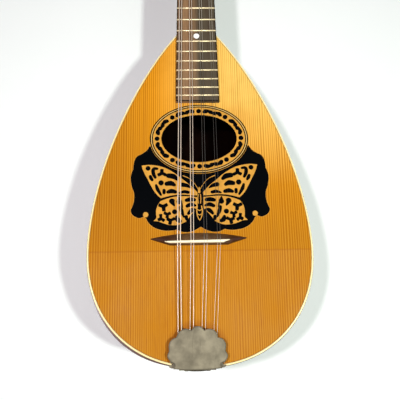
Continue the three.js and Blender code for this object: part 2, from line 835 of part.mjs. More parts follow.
function makeTailpiece() {
  const half = tailPlateWidth / 2;
  const x = tailpieceSetOver;
  const front = -glueGap - tailPlateThickness;
  tailFrame.updateMatrix();
  const onBoard = (geometry) => solid(geometry.applyMatrix4(tailFrame.matrix));
  const flangeZ = tailZ - glueGap;
  const flangeLow = flangeZ - tailPlateThickness;
  const plateEnd = (flangeZ - tailPlateThickness / 2 - bendZ) / Math.cos(radians(cantAngle));
  let base = onBoard(block([x - half, x + half], [front, -glueGap], [plateEnd, -tailPlateTop]));
  const flangeHalf = tailFlangeWidth / 2;
  const flangeTop = boardSurface(tailZ) + front;
  const flangeFoot = flangeTop + tailFlangeDrop;
  const flange = block([x - flangeHalf, x + flangeHalf], [flangeTop, flangeFoot], [flangeLow, flangeZ]);
  base = base.add(solid(flange));
  for (const string of stringList()) {
    const hook = block(
      [string.hookX - hookWidth / 2, string.hookX + hookWidth / 2],
      [front - hookHeight, front + tailPlateThickness / 2],
      [-hookRow - hookWidth / 2, -hookRow + hookWidth / 2],
    );
    base = base.add(onBoard(hook));
  }
  for (const [across, down] of tailScrewShares) {
    const head = cylinder(tailScrewRadius, -tailPlateThickness / 2, tailScrewHeight).rotateX(-quarter);
    head.translate(x + across * flangeHalf, flangeTop + down * tailFlangeDrop, flangeLow);
    base = base.add(solid(head));
  }
  place('tailpiece_base', geometryOf(base), 'nickel');

  const outline = mirrored(coverShares, coverHalfWidth, coverLength, -coverTop, coverSteps, x);
  let cover = solid(plate(outline, -coverHeight, -coverHeight + coverThickness));
  const skirtMiddle = -coverTop - coverLength * skirtMiddleShare;
  for (const side of [-1, 1]) {
    const near = x + side * (half + skirtClearance);
    const far = near + side * skirtWidth;
    const skirt = block(
      [Math.min(near, far), Math.max(near, far)],
      [-coverHeight + coverThickness / 2, -skirtClearance],
      [skirtMiddle - skirtLength / 2, skirtMiddle + skirtLength / 2],
    );
    cover = cover.add(solid(skirt));
  }
  place('tailpiece_cover', geometryOf(cover), 'nickel', tailFrame);
}

// A bar along X from its axis: radius and distance pairs, as a turned piece
function turnedAlongX(profile, sides, side) {
  const points = profile.map(([radius, along]) => new THREE.Vector2(radius, along));
  return new THREE.LatheGeometry(points, sides).rotateZ(-side * quarter);
}

function gear() {
  const points = [];
  for (let tooth = 0; tooth < gearTeeth; tooth += 1) {
    const turn = (2 * Math.PI * tooth) / gearTeeth;
    const corners = [
      [-toothRootHalf, gearRootRadius],
      [-toothTipHalf, gearTipRadius],
      [toothTipHalf, gearTipRadius],
      [toothRootHalf, gearRootRadius],
    ];
    for (const [across, out] of corners) {
      points.push(new THREE.Vector2(across, out).rotateAround(new THREE.Vector2(), -turn));
    }
  }
  const shape = new THREE.Shape(points.reverse());
  const wheel = plate(shape, gearMiddle - gearWidth / 2, gearMiddle + gearWidth / 2);
  const twist = wormLead / (2 * Math.PI * wormPitchRadius * gearPitchRadius);
  const position = wheel.attributes.position;
  const axis = new THREE.Vector3(0, 1, 0);
  for (let index = 0; index < position.count; index += 1) {
    const point = new THREE.Vector3().fromBufferAttribute(position, index);
    point.applyAxisAngle(axis, twist * (point.y - gearMiddle));
    position.setXYZ(index, ...point);
  }
  return wheel;
}

function worm() {
  const rings = [];
  const turns = (2 * threadReach) / wormLead;
  const steps = Math.round(turns * threadSteps);
  for (let step = 0; step <= steps; step += 1) {
    const along = -threadReach + (2 * threadReach * step) / steps;
    const turn = 2 * Math.PI * (along / wormLead - threadStartShare);
    const at = (radius, half) => new THREE.Vector3(
      along + half,
      radius * Math.cos(turn),
      radius * Math.sin(turn),
    );
    const sunk = wormCoreRadius - threadSunk;
    rings.push([
      at(sunk, threadRootHalf),
      at(sunk, -threadRootHalf),
      at(wormTipRadius, -threadTipHalf),
      at(wormTipRadius, threadTipHalf),
    ]);
  }
  return loft(rings);
}

function makeTuners() {
  const button = turnedAlongX(
    [[0, buttonStart], ...buttonShares.map(([out, along]) => [
      out * buttonHalfHeight,
      buttonStart + along * buttonLength,
    ]), [0, buttonStart + buttonLength]],
    buttonSides,
    1,
  );
  button.scale(1, buttonFlatShare, 1);
  const boreRadius = journalRadius + glueGap;
  const bore = cylinder(boreRadius, buttonStart - overrun, buttonStart + buttonBore, shaftSides);
  const knob = geometryOf(solid(button).subtract(solid(bore.rotateZ(-quarter))));

  const shaftEnd = buttonStart + buttonBore - glueGap;
  const lugEnd = lugOffset + lugThickness + glueGap;
  const shaft = turnedAlongX(
    [
      [0, -lugEnd],
      [journalRadius, -lugEnd],
      [journalRadius, -coreReach],
      [wormCoreRadius, -coreReach],
      [wormCoreRadius, coreReach],
      [journalRadius, coreReach],
      [journalRadius, shaftEnd],
      [0, shaftEnd],
    ],
    shaftSides,
    1,
  );
  const screw = solid(shaft.rotateX(Math.PI / shaftSides)).add(solid(worm()));

  const gearBack = gearMiddle + gearWidth / 2;
  const gearFront = gearMiddle - gearWidth / 2;
  const waist = stringAbovePost - postWaistRadius / 2;
  const stem = new THREE.LatheGeometry(
    [
      [0, -postReach],
      [postRadius, -postReach],
      [postRadius, -stringAbovePost - postWaistRadius / 2],
      [postWaistRadius, -stringAbovePost],
      [postRadius, -waist],
      [postRadius, plateBack + glueGap],
      [collarRadius, plateBack + glueGap],
      [collarRadius, gearFront + glueGap],
      [gearScrewRadius, gearFront + glueGap],
      [gearScrewRadius, gearBack + gearScrewHeight],
      [0, gearBack + gearScrewHeight],
    ].map(([radius, along]) => new THREE.Vector2(radius, along)),
    postSides,
  );
  const post = geometryOf(solid(stem).add(solid(gear())));

  for (const { name, x, z, side } of postPlaces()) {
    const turned = side < 0 ? mirroredWorm(screw) : geometryOf(screw);
    place(`worm_shaft_${name}`, turned.translate(x, gearMiddle, z + wormCentre), 'steel', headstockFrame);
    const end = side < 0 ? knob.clone().rotateZ(Math.PI) : knob.clone();
    place(`tuner_button_${name}`, end.translate(x, gearMiddle, z + wormCentre), 'cream', headstockFrame);
    place(`string_post_${name}`, post.clone().translate(x, 0, z), 'brass', headstockFrame);
  }
}

// The same right-hand worm turned end for end, so that its thread still meets the gear's gaps
function mirroredWorm(screw) {
  return geometryOf(screw).rotateZ(Math.PI);
}

function makePlates() {
  const low = postSpots[0] - plateMargin - gearTipRadius;
  const high = postSpots[postSpots.length - 1] + wormCentre + lugHalfWidth + plateMargin;
  for (const [name, side] of [['tuner_plate_bass', -1], ['tuner_plate_treble', 1]]) {
    const across = (near, far) => [side * near, side * far].sort((a, b) => a - b)
      .map((value) => value + side * postSetOut);
    const front = headstockThickness + glueGap;
    let strap = solid(block(across(-plateInner, plateOuter), [front, plateBack], [low, high]));
    for (const spot of postSpots) {
      for (const near of [-lugOffset - lugThickness, lugOffset]) {
        const wormZ = spot + wormCentre;
        const lugBack = gearMiddle + journalRadius + holeClearance + lugWall;
        strap = strap.add(solid(block(
          across(near, near + lugThickness),
          [front + plateThickness / 2, lugBack],
          [wormZ - lugHalfWidth, wormZ + lugHalfWidth],
        )));
      }
      const hole = cylinder(postRadius + holeClearance, -overrun, overrun);
      strap = strap.subtract(solid(hole.translate(side * postSetOut, 0, spot)));
      const bearing = cylinder(journalRadius + holeClearance, -overrun, overrun, shaftSides);
      bearing.rotateZ(quarter).translate(0, gearMiddle, spot + wormCentre);
      strap = strap.subtract(solid(bearing));
      const head = cylinder(
        plateScrewRadius,
        plateBack - plateThickness / 2,
        plateBack + plateScrewHeight,
        screwSides,
      );
      const headX = side * (postSetOut + plateScrewSetOut);
      strap = strap.add(solid(head.translate(headX, 0, spot - plateScrewRadius)));
    }
    place(name, geometryOf(strap), 'brass', headstockFrame);
  }
}

makeBody();
makeInlays();
makeNeck();
makeFingerboard();
makeNut();
makeBridge();
makeTailpiece();
makeTuners();
makePlates();
makeStrings();

export default instrument;
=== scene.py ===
"""The finished looks of a bowlback mandolin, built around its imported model. Lengths are in metres."""

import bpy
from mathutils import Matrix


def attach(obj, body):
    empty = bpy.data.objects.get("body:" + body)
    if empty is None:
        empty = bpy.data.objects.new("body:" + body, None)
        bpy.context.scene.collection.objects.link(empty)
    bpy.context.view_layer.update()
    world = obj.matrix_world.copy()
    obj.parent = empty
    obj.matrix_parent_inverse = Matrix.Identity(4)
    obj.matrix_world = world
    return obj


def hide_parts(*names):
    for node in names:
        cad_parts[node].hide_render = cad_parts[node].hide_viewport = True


bl_info = {
    "name": "Bowlback mandolin",
    "version": (1, 0, 0),
    "blender": (4, 5, 0),
    "location": "3D View > Sidebar > Mandolin",
    "description": "Builds the finished pieces of a bowlback mandolin around its packed model",
    "category": "Object",
}

from math import atan2, copysign, cos, pi, radians, sin, tan

import bmesh
import bpy
from bpy.props import FloatProperty, FloatVectorProperty, IntProperty, PointerProperty
from mathutils import Matrix, Vector

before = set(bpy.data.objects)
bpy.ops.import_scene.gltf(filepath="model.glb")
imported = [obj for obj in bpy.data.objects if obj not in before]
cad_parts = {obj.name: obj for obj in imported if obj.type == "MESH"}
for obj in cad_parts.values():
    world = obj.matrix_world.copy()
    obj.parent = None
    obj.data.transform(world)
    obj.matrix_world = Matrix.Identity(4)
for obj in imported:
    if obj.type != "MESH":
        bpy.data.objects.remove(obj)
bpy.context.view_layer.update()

# Shapes are worked out in millimetres, and every finished mesh is in metres
MM = 0.001
FIXED_BODY = "body_and_neck"
GLUE_GAP = 0.3


# Sizes and colours that a user may change
def length(name, description, default):
    return FloatProperty(name=name, description=description, default=default, unit="LENGTH", precision=5)


def angle(name, description, degrees):
    return FloatProperty(name=name, description=description, default=radians(degrees), unit="ROTATION")


def linear(value):
    """A colour channel from 0 to 255 as the light that it stands for"""
    share = value / 255
    return share / 12.92 if share <= 0.04045 else ((share + 0.055) / 1.055) ** 2.4


def colour(name, description, red, green, blue):
    default = (linear(red), linear(green), linear(blue))
    return FloatVectorProperty(
        name=name, description=description, default=default, subtype="COLOR", min=0, max=1)


class MandolinSizes(bpy.types.PropertyGroup):
    scale_length: length("Scale length", "From the nut to the saddle", 0.34)
    fret_count: IntProperty(name="Frets", description="Number of frets", default=16, min=1)
    body_half_width: length("Body half width", "From the centre line to the widest point", 0.0958)
    body_join_width: length("Body join width", "Width of the body where the neck meets it", 0.0376)
    body_top: length("Body top", "From the saddle to the end of the body at the neck", 0.2011)
    bend_below_saddle: length("Bend below saddle", "Where the soundboard starts to lean back", 0.0073)
    tail_below_saddle: length("Tail below saddle", "From the saddle to the tail", 0.102)
    cant: angle("Cant", "How far the lower soundboard leans back", 5)
    board_thickness: length("Soundboard thickness", "Thickness of the spruce", 0.0026)
    binding_width: length("Binding width", "Width of the cream edge", 0.002)
    bowl_depth: length("Bowl depth", "Depth of the bowl at its widest", 0.138)
    heel_depth: length("Heel depth", "Depth of the bowl where the neck meets it", 0.036)
    rib_count: IntProperty(name="Ribs", description="Number of ribs in the bowl", default=9, min=3)
    hole_width: length("Hole width", "Width of the sound hole", 0.0672)
    hole_height: length("Hole height", "Height of the sound hole", 0.0452)
    rosette_width: length("Rosette width", "Width of the rosette and its lines", 0.0879)
    rosette_height: length("Rosette height", "Height of the rosette and its lines", 0.0664)
    headstock_tilt: angle("Headstock tilt", "How far the headstock leans back", 13)


class MandolinColours(bpy.types.PropertyGroup):
    # The warm, shaded and light spruce tones paint light and shade on the soundboard: painted light toward
    # the neck, painted shade at the left and a painted sheen at the upper right. The light tone also
    # colours the early wood of the rings.
    spruce: colour("Spruce", "Varnished soundboard", 185, 119, 3)
    spruce_lit: colour("Lit spruce", "Where the upper soundboard is brighter", 234, 153, 24)
    spruce_shade: colour("Shaded spruce", "Left of the pickguard, where it is darker", 160, 98, 0)
    spruce_sheen_and_early_wood: colour("Light spruce", "Where the soundboard is paler, toward the neck", 254, 212, 116)
    # The dark grain tone also paints the shadow round the tailpiece cover.
    spruce_grain_and_shade: colour("Spruce lines", "Dark winter grain of the soundboard", 142, 72, 4)
    cream: colour("Cream edge", "Binding round the soundboard", 244, 224, 164)
    guard: colour("Pickguard", "Black celluloid", 3, 4, 6)
    golden: colour("Golden inlay", "Rosette and butterfly", 208, 148, 58)
    pale_line: colour("Pale line", "Thin light lines round the inlays", 214, 172, 96)
    bowl: colour("Bowl", "Stained and varnished ribs", 70, 31, 15)
    bowl_dark: colour("Bowl figure", "Darker figure of the ribs", 44, 18, 10)
    neck: colour("Neck", "Stained neck and headstock", 92, 46, 24)
    # Painted shade: the inner wood is near black, standing for the shade inside the bowl seen through the
    # sound hole.
    inside: colour("Inside", "Old dark wood in the bowl", 14, 3, 1)
    fingerboard: colour("Fingerboard", "Oiled dark rosewood", 76, 66, 50)
    # Painted sheen: the lighter tone on the bass side of the fingerboard.
    fingerboard_sheen: colour("Light fingerboard", "Worn side of the fingerboard under the bass strings",
                              150, 114, 80)
    # Painted shade: dark strips along the fingerboard's sides and end stand for the shade there.
    ebony: colour("Ebony", "Dark sides of the fingerboard", 24, 17, 12)
    bridge: colour("Bridge", "Dark bridge wood", 56, 24, 9)
    # Painted sheen: the lighter middle of the bridge.
    bridge_sheen: colour("Bridge sheen", "Middle of the bridge, where it has worn", 104, 74, 42)
    bone: colour("Bone", "Nut and saddle", 246, 234, 198)
    nickel: colour("Nickel", "Worn nickel plate", 108, 100, 84)
    # Painted shadow: the dark nickel of the tailpiece's lower lip stands for the shadow under the cover.
    aged_nickel: colour("Aged nickel", "Dark lower lip of the tailpiece", 46, 40, 32)
    steel: colour("Steel", "Polished steel", 205, 203, 198)
    fret: colour("Fret wire", "Warm worn fret wire", 200, 182, 148)
    plain_wire: colour("Plain wire", "Thin treble strings", 178, 170, 158)
    # Painted shade on the treble strings between the fingerboard and the bridge.
    plain_wire_dark: colour("Dark plain wire", "Thin treble strings over the sound hole", 78, 76, 74)
    bronze: colour("Bronze", "Wound string wire", 206, 190, 174)
    brass: colour("Brass", "Gears and posts", 214, 176, 104)
    aged_brass: colour("Aged brass", "Straps of the tuning machines", 150, 120, 66)
    button: colour("Button", "Pearly tuning buttons", 236, 226, 202)
    pearl: FloatVectorProperty(name="Pearl", description="Dots of the fingerboard",
                               default=(0.9, 0.9, 0.86), subtype="COLOR", min=0, max=1)


def sizes():
    return bpy.context.scene.mandolin_sizes


def mm(name):
    """One of the sizes in millimetres"""
    return getattr(sizes(), name) / MM


def colours():
    return bpy.context.scene.mandolin_colours


# Node tools
def node(tree, kind, values=None, **settings):
    """A new shader node with its settings, and values or links for its inputs"""
    made = tree.nodes.new(f"ShaderNode{kind}")
    for name, value in settings.items():
        setattr(made, name, value)
    for key, value in (values or {}).items():
        socket = made.inputs[key]
        if isinstance(value, bpy.types.NodeSocket):
            tree.links.new(value, socket)
        elif socket.type == "RGBA":
            socket.default_value = (*value[:3], 1)
        else:
            socket.default_value = value
    return made


def maths(tree, operation, *values):
    return node(tree, "Math", dict(enumerate(values)), operation=operation).outputs["Value"]


def product(tree, *values):
    return maths(tree, "MULTIPLY", *values)


def mix(tree, share, first, second, blend="MIX"):
    """Blends two colours. Inputs 6 and 7 are the colours of a mix node, and output 2 is its colour."""
    values = {0: share, 6: first, 7: second}
    return node(tree, "Mix", values, data_type="RGBA", blend_type=blend).outputs[2]


def spread(tree, value, low, high, to_low=0.0, to_high=1.0):
    """Maps a value from one range to another and keeps it inside"""
    return node(tree, "MapRange", {
        "Value": value, "From Min": low, "From Max": high, "To Min": to_low, "To Max": to_high,
    }).outputs["Result"]


def noise(tree, place, scale, detail, **more):
    values = {"Vector": place, "Scale": scale, "Detail": detail}
    values.update((name.capitalize(), value) for name, value in more.items())
    return node(tree, "TexNoise", values).outputs["Fac"]


def split(tree, place):
    """The X, Y and Z of a place"""
    return node(tree, "SeparateXYZ", {"Vector": place}).outputs[:]


def join(tree, x, y, z):
    return node(tree, "CombineXYZ", {"X": x, "Y": y, "Z": z}).outputs[0]


def vector_maths(tree, operation, *values):
    return node(tree, "VectorMath", dict(enumerate(values)), operation=operation).outputs


def node_group(name, numbers, work):
    """A shared group of nodes: work turns its place and numbers into named outputs"""
    if name in bpy.data.node_groups:
        return bpy.data.node_groups[name]
    tree = bpy.data.node_groups.new(name, "ShaderNodeTree")
    tree.interface.new_socket("Vector", in_out="INPUT", socket_type="NodeSocketVector")
    for label, default in numbers.items():
        socket = tree.interface.new_socket(label, in_out="INPUT", socket_type="NodeSocketFloat")
        socket.default_value = default
    start = tree.nodes.new("NodeGroupInput")
    results = work(tree, *start.outputs[:-1])
    for label in results:
        tree.interface.new_socket(label, in_out="OUTPUT", socket_type="NodeSocketFloat")
    end = tree.nodes.new("NodeGroupOutput")
    for label, value in results.items():
        tree.links.new(value, end.inputs[label])
    return tree


def grain_nodes(tree, place, spacing, wander, stretch):
    x, y, z = split(tree, place)
    sway = noise(tree, join(tree, x, y, product(tree, z, 0.35)), 14, 1)
    across = maths(tree, "ADD", x, product(tree, maths(tree, "SUBTRACT", sway, 0.5), wander))
    place = join(tree, maths(tree, "DIVIDE", across, spacing), maths(tree, "DIVIDE", y, spacing),
                 maths(tree, "DIVIDE", z, product(tree, spacing, stretch)))
    return {"Line": spread(tree, noise(tree, place, 0.9, 3, roughness=0.65), 0.5, 0.68),
            "Band": noise(tree, place, 0.11, 1), "Fibre": noise(tree, place, 5, 2)}


def wear_nodes(tree, place, smudge_size):
    smudge = noise(tree, place, maths(tree, "DIVIDE", 1.0, smudge_size), 4, roughness=0.6)
    streaks = node(tree, "Mapping", {
        "Vector": place, "Rotation": (0.3, 0.7, 0.4), "Scale": (900, 120, 60)}).outputs[0]
    scratch = noise(tree, streaks, 1, 2)
    return {"Smudge": spread(tree, smudge, 0.35, 0.7), "Scratch": spread(tree, scratch, 0.66, 0.74),
            "Speck": noise(tree, place, 1400, 2)}


def place_group(tree, group, place, **values):
    made = node(tree, "Group", node_tree=group)
    tree.links.new(place, made.inputs["Vector"])
    for name, value in values.items():
        made.inputs[name.replace("_", " ").capitalize()].default_value = value
    return made.outputs


def straight_grain(tree, place, **values):
    """Fine lines along Z that wander a little, for any wood"""
    numbers = {"Spacing": 0.0015, "Wander": 0.0006, "Stretch": 60.0}
    return place_group(tree, node_group("Straight grain", numbers, grain_nodes), place, **values)


def handling_wear(tree, place, smudge_size):
    """Faint smudges and small scratches, for any varnish, plastic or metal"""
    group = node_group("Handling wear", {"Smudge size": 0.03}, wear_nodes)
    return place_group(tree, group, place, smudge_size=smudge_size)


def new_material(name):
    material = bpy.data.materials.new(name)
    material.use_nodes = True
    tree = material.node_tree
    place = node(tree, "TexCoord").outputs["Object"]
    return material, tree, tree.nodes["Principled BSDF"], place


SHADER_SOCKETS = {
    "colour": "Base Color", "roughness": "Roughness", "normal": "Normal", "metal": "Metallic",
    "gloss": "Specular IOR Level", "coat": "Coat Weight", "coat_roughness": "Coat Roughness",
}


def feed(tree, shader, **sockets):
    for name, value in sockets.items():
        socket = shader.inputs[SHADER_SOCKETS[name]]
        if isinstance(value, bpy.types.NodeSocket):
            tree.links.new(value, socket)
        else:
            socket.default_value = value


def bump(tree, height, distance, strength):
    return node(tree, "Bump", {
        "Height": height, "Distance": distance, "Strength": strength}).outputs["Normal"]


# Finishes. Places on the object are in metres here, as in the shaders.
YEAR_RING = 0.0019
TAILPIECE_MIDDLE = (-0.0039, 0, -0.4268)
# Where the painted shade on the plain strings starts and ends, in metres up the object
BARE_WIRE_SHADE = (-0.185, -0.334)
WINDING_PITCH = 0.00022


def spruce(name, tone, roughness):
    """Straight even year rings, strong at the sides, under an old golden varnish"""
    material, tree, shader, place = new_material(name)
    tones = colours()
    grain = straight_grain(tree, place, spacing=0.0021, wander=0.0012, stretch=300.0)
    wear = handling_wear(tree, place, 0.05)
    across, _, up = split(tree, place)
    # Year rings: a wave across the board that drifts slowly along it
    drift = noise(tree, join(tree, across, 0, product(tree, up, 0.06)), 30, 2)
    ringed = maths(tree, "ADD", across, product(tree, drift, 0.009))
    wave = maths(tree, "SINE", product(tree, ringed, 2 * pi / YEAR_RING))
    late = maths(tree, "POWER", spread(tree, wave, -1, 1), 2.2)
    early = maths(tree, "POWER", spread(tree, wave, 1, -1), 5)
    uneven = noise(tree, join(tree, product(tree, across, 900), 0, product(tree, up, 6)), 0.5, 3)
    strength = spread(tree, uneven, 0.3, 0.7, 0.35, 1)
    side = spread(tree, maths(tree, "ABSOLUTE", across), 0.005, 0.06, 0.55, 1)
    late, early = (product(tree, product(tree, ring, strength), side) for ring in (late, early))
    late = maths(tree, "ADD", late, product(tree, grain["Line"], 0.25))
    # Painted light and shade: brighter and warmer toward the neck as painted light, painted shade at the
    # left, and a painted sheen, palest at the upper right
    base = mix(tree, spread(tree, up, -0.335, -0.2), tone, tones.spruce_lit)
    shade = product(tree, spread(tree, across, -0.02, -0.085), spread(tree, up, -0.36, -0.3))
    base = mix(tree, product(tree, shade, 0.6), base, tones.spruce_shade)
    painted_sheen = product(tree, spread(tree, up, -0.29, -0.195), spread(tree, across, -0.04, 0.035, 0, 0.82))
    base = mix(tree, painted_sheen, base, tones.spruce_sheen_and_early_wood)
    base = mix(tree, product(tree, late, 0.85), base, mix(tree, painted_sheen, tones.spruce_grain_and_shade, tone))
    base = mix(tree, product(tree, early, 0.14), base, tones.spruce_sheen_and_early_wood)
    warm = (tone[0] * 0.97, tone[1] * 0.85, tone[2] * 0.6)
    base = mix(tree, spread(tree, wear["Smudge"], 0.3, 1, 0, 0.3), base, warm)
    base = mix(tree, product(tree, grain["Fibre"], 0.14), base, tones.spruce_grain_and_shade)
    # Painted shadow round the tailpiece cover, and a darker line along the bend
    from_tail = vector_maths(tree, "SUBTRACT", place, TAILPIECE_MIDDLE)[0]
    oval = vector_maths(tree, "MULTIPLY", from_tail, (46, 0, 52))[0]
    near = vector_maths(tree, "LENGTH", oval)["Value"]
    base = mix(tree, spread(tree, near, 0.98, 1.25, 0.6, 0), base, tones.spruce_grain_and_shade)
    from_bend = maths(tree, "ABSOLUTE", maths(tree, "SUBTRACT", up, bend_z() * MM))
    base = mix(tree, spread(tree, from_bend, 0.0002, 0.0011, 0.3, 0), base, tones.spruce_grain_and_shade)
    height = maths(tree, "ADD", late, product(tree, grain["Fibre"], 0.3))
    feed(tree, shader, colour=base, gloss=0.06, normal=bump(tree, height, 0.00003, 0.4),
         roughness=spread(tree, wear["Smudge"], 0, 1, roughness, roughness + 0.15))
    return material


def plain(name, tone, roughness, coat=0, metal=0, smudge=0.03, shade=0.9, gloss=0.5):
    """A plastic, bone or metal finish with smudges, scratches and a fine uneven skin"""
    material, tree, shader, place = new_material(name)
    wear = handling_wear(tree, place, smudge)
    dull = [channel * shade for channel in tone]
    base = mix(tree, product(tree, wear["Smudge"], 0.7), tone, dull)
    bright = [min(1, channel * 1.3) for channel in tone]
    base = mix(tree, product(tree, wear["Scratch"], 0.15), base, bright)
    rough = maths(tree, "ADD", spread(tree, wear["Smudge"], 0, 1, roughness, roughness + 0.12),
                  product(tree, wear["Scratch"], 0.15))
    skin = maths(tree, "ADD", wear["Speck"], wear["Smudge"])
    feed(tree, shader, colour=base, roughness=rough, metal=metal, gloss=gloss, coat=coat,
         normal=bump(tree, skin, 0.00001, 0.4))
    if coat:
        feed(tree, shader, coat_roughness=0.2)
    return material


def figured_wood(name, tone, roughness, spacing, line=0.6, coat=0, dark=None, figure=0, gloss=0.2,
                 worn=None):
    """Dark or stained wood with grain along its length, and cross figure where it has some"""
    material, tree, shader, place = new_material(name)
    dark = dark or colours().bowl_dark
    grain = straight_grain(tree, place, spacing=spacing, wander=spacing * 2, stretch=24.0)
    wear = handling_wear(tree, place, 0.04)
    # A painted sheen: the wood turns to a lighter tone across part of it, on the fingerboard's bass side
    # and in the middle of the bridge.
    if worn:
        sheen_tone, low, high = worn
        across = split(tree, place)[0]
        if low > 0:
            across = maths(tree, "ABSOLUTE", across)
        tone = mix(tree, spread(tree, across, low, high), getattr(colours(), sheen_tone), tone)
    base = mix(tree, product(tree, grain["Line"], line), tone, dark)
    base = mix(tree, spread(tree, grain["Band"], 0.35, 0.65, 0, 0.45), base, dark)
    if figure:
        waves = node(tree, "TexWave", {
            "Vector": place, "Scale": 55, "Distortion": 5, "Detail": 2, "Detail Scale": 0.8},
            bands_direction="Z").outputs["Fac"]
        base = mix(tree, product(tree, waves, figure), base, tone, "SCREEN")
    height = maths(tree, "ADD", grain["Line"], grain["Fibre"])
    feed(tree, shader, colour=base, gloss=gloss, coat=coat, normal=bump(tree, height, 0.00004, 0.5),
         roughness=spread(tree, wear["Smudge"], 0, 1, roughness, roughness + 0.15))
    if coat:
        feed(tree, shader, coat_roughness=0.15)
    return material


def wound_wire(name, tone, roughness):
    """Wire wound round a core, seen as fine rings along the string"""
    material, tree, shader, place = new_material(name)
    turns = node(tree, "TexWave", {"Vector": place, "Scale": pi / WINDING_PITCH / 10, "Distortion": 0},
                 bands_direction="Z").outputs["Fac"]
    wear = handling_wear(tree, place, 0.02)
    # Painted shade: the colour darkens in the grooves between the turns of the winding.
    dull = [channel * 0.6 for channel in tone]
    base = mix(tree, spread(tree, turns, 0, 1, 0.4, 0), tone, dull)
    feed(tree, shader, colour=base, metal=1, normal=bump(tree, turns, 0.00005, 0.6),
         roughness=spread(tree, wear["Smudge"], 0, 1, roughness, 0.42))
    return material


def plain_wire(name, tone, roughness):
    """Thin bare wire, with painted shade between the fingerboard and the bridge"""
    material, tree, shader, place = new_material(name)
    up = split(tree, place)[2]
    wear = handling_wear(tree, place, 0.02)
    high, low = BARE_WIRE_SHADE
    lit = maths(tree, "MAXIMUM", spread(tree, up, high, high + 0.04), spread(tree, up, low, low - 0.011))
    base = mix(tree, lit, colours().plain_wire_dark, tone)
    feed(tree, shader, colour=base, metal=1, normal=bump(tree, wear["Speck"], 0.00001, 0.3),
         roughness=spread(tree, wear["Smudge"], 0, 1, roughness, 0.5))
    return material


def pearl(name, tone, roughness):
    """Pearly plastic or mother of pearl, with soft clouds of light and shade"""
    material, tree, shader, place = new_material(name)
    clouds = noise(tree, place, 260, 3, distortion=1.5)
    bright = [min(1, channel * 1.15 + 0.03) for channel in tone]
    shade = [channel * 0.78 for channel in tone]
    base = mix(tree, spread(tree, clouds, 0.35, 0.65), shade, bright)
    wear = handling_wear(tree, place, 0.01)
    feed(tree, shader, colour=base, coat=0.5, coat_roughness=0.12,
         roughness=spread(tree, wear["Smudge"], 0, 1, roughness, 0.36),
         normal=bump(tree, wear["Speck"], 0.00001, 0.3))
    return material


# Kind of finish, name of its material, its colour, its roughness and what else it needs
FINISHES = {
    "spruce": (spruce, "Varnished spruce", "spruce", 0.4, {}),
    "cream": (plain, "Cream binding", "cream", 0.35, {"coat": 0.4, "shade": 0.93}),
    "guard": (plain, "Black celluloid", "guard", 0.24, {"shade": 0.7, "gloss": 0.015}),
    "golden": (plain, "Golden inlay", "golden", 0.42, {"shade": 0.7, "smudge": 0.005, "gloss": 0.12}),
    "pale_line": (plain, "Pale line", "pale_line", 0.4, {"shade": 0.85, "smudge": 0.004}),
    "seam": (plain, "Seam line", "pale_line", 0.4, {"coat": 0.5}),
    "bowl": (figured_wood, "Varnished rib", "bowl", 0.32, {
        "spacing": 0.0016, "line": 0.8, "coat": 0.35, "figure": 0.35}),
    "neck": (figured_wood, "Varnished neck", "neck", 0.32, {"spacing": 0.0012, "coat": 0.6}),
    "inside": (figured_wood, "Bare inner wood", "inside", 0.7, {
        "spacing": 0.0018, "dark": (0.001, 0.0005, 0.0005), "gloss": 0.02}),
    # The lighter tones of the fingerboard and the bridge are painted sheen.
    "fingerboard": (figured_wood, "Oiled rosewood", "fingerboard", 0.5, {
        "spacing": 0.0009, "worn": ("fingerboard_sheen", -0.006, 0.002)}),
    "bridge": (figured_wood, "Bridge wood", "bridge", 0.4, {
        "spacing": 0.0008, "coat": 0.1, "gloss": 0.25, "worn": ("bridge_sheen", 0.012, 0.028)}),
    "ebony": (plain, "Ebony edge", "ebony", 0.5, {"gloss": 0.1}),
    "bone": (plain, "Bone", "bone", 0.38, {"coat": 0.2, "shade": 0.92, "smudge": 0.005}),
    "nickel": (plain, "Worn nickel", "nickel", 0.58, {"metal": 0.85, "smudge": 0.009, "shade": 0.7}),
    "aged_nickel": (plain, "Aged nickel", "aged_nickel", 0.5, {"metal": 0.6, "gloss": 0.2}),
    "fret_wire": (plain, "Fret wire", "fret", 0.36, {"metal": 1, "smudge": 0.01}),
    "steel": (plain, "Steel", "steel", 0.25, {"metal": 1, "smudge": 0.01}),
    "brass": (plain, "Brass", "brass", 0.3, {"metal": 1, "smudge": 0.01, "shade": 0.75}),
    "aged_brass": (plain, "Aged brass", "aged_brass", 0.48, {
        "metal": 0.85, "smudge": 0.006, "shade": 0.6}),
    "bronze_wire": (wound_wire, "Bronze winding", "bronze", 0.28, {}),
    "steel_wire": (plain_wire, "Plain string", "plain_wire", 0.4, {}),
    "button": (pearl, "Pearly button", "button", 0.22, {}),
    "pearl": (pearl, "Pearl dot", "pearl", 0.22, {}),
}


def finish(name):
    """The material of a finish, made when it is first asked for"""
    kind, label, tone, roughness, more = FINISHES[name]
    made = bpy.data.materials.get(label)
    return made or kind(label, getattr(colours(), tone), roughness, **more)


# Mesh tools
def spline(points, steps):
    """Points of a smooth run through the given ones"""
    if len(points) < 3:
        return [Vector(point) for point in points]
    places = [Vector(point) for point in points]
    last = len(places) - 1
    run = []
    for index in range(last):
        start, end = places[index], places[index + 1]
        leave = (end - places[max(index - 1, 0)]) / 2
        arrive = (places[min(index + 2, last)] - start) / 2
        for step in range(steps):
            t = step / steps
            cubic = (2 * t ** 3 - 3 * t ** 2 + 1) * start + (t ** 3 - 2 * t ** 2 + t) * leave
            run.append(cubic + (3 * t ** 2 - 2 * t ** 3) * end + (t ** 3 - t ** 2) * arrive)
    return [*run, places[-1]]


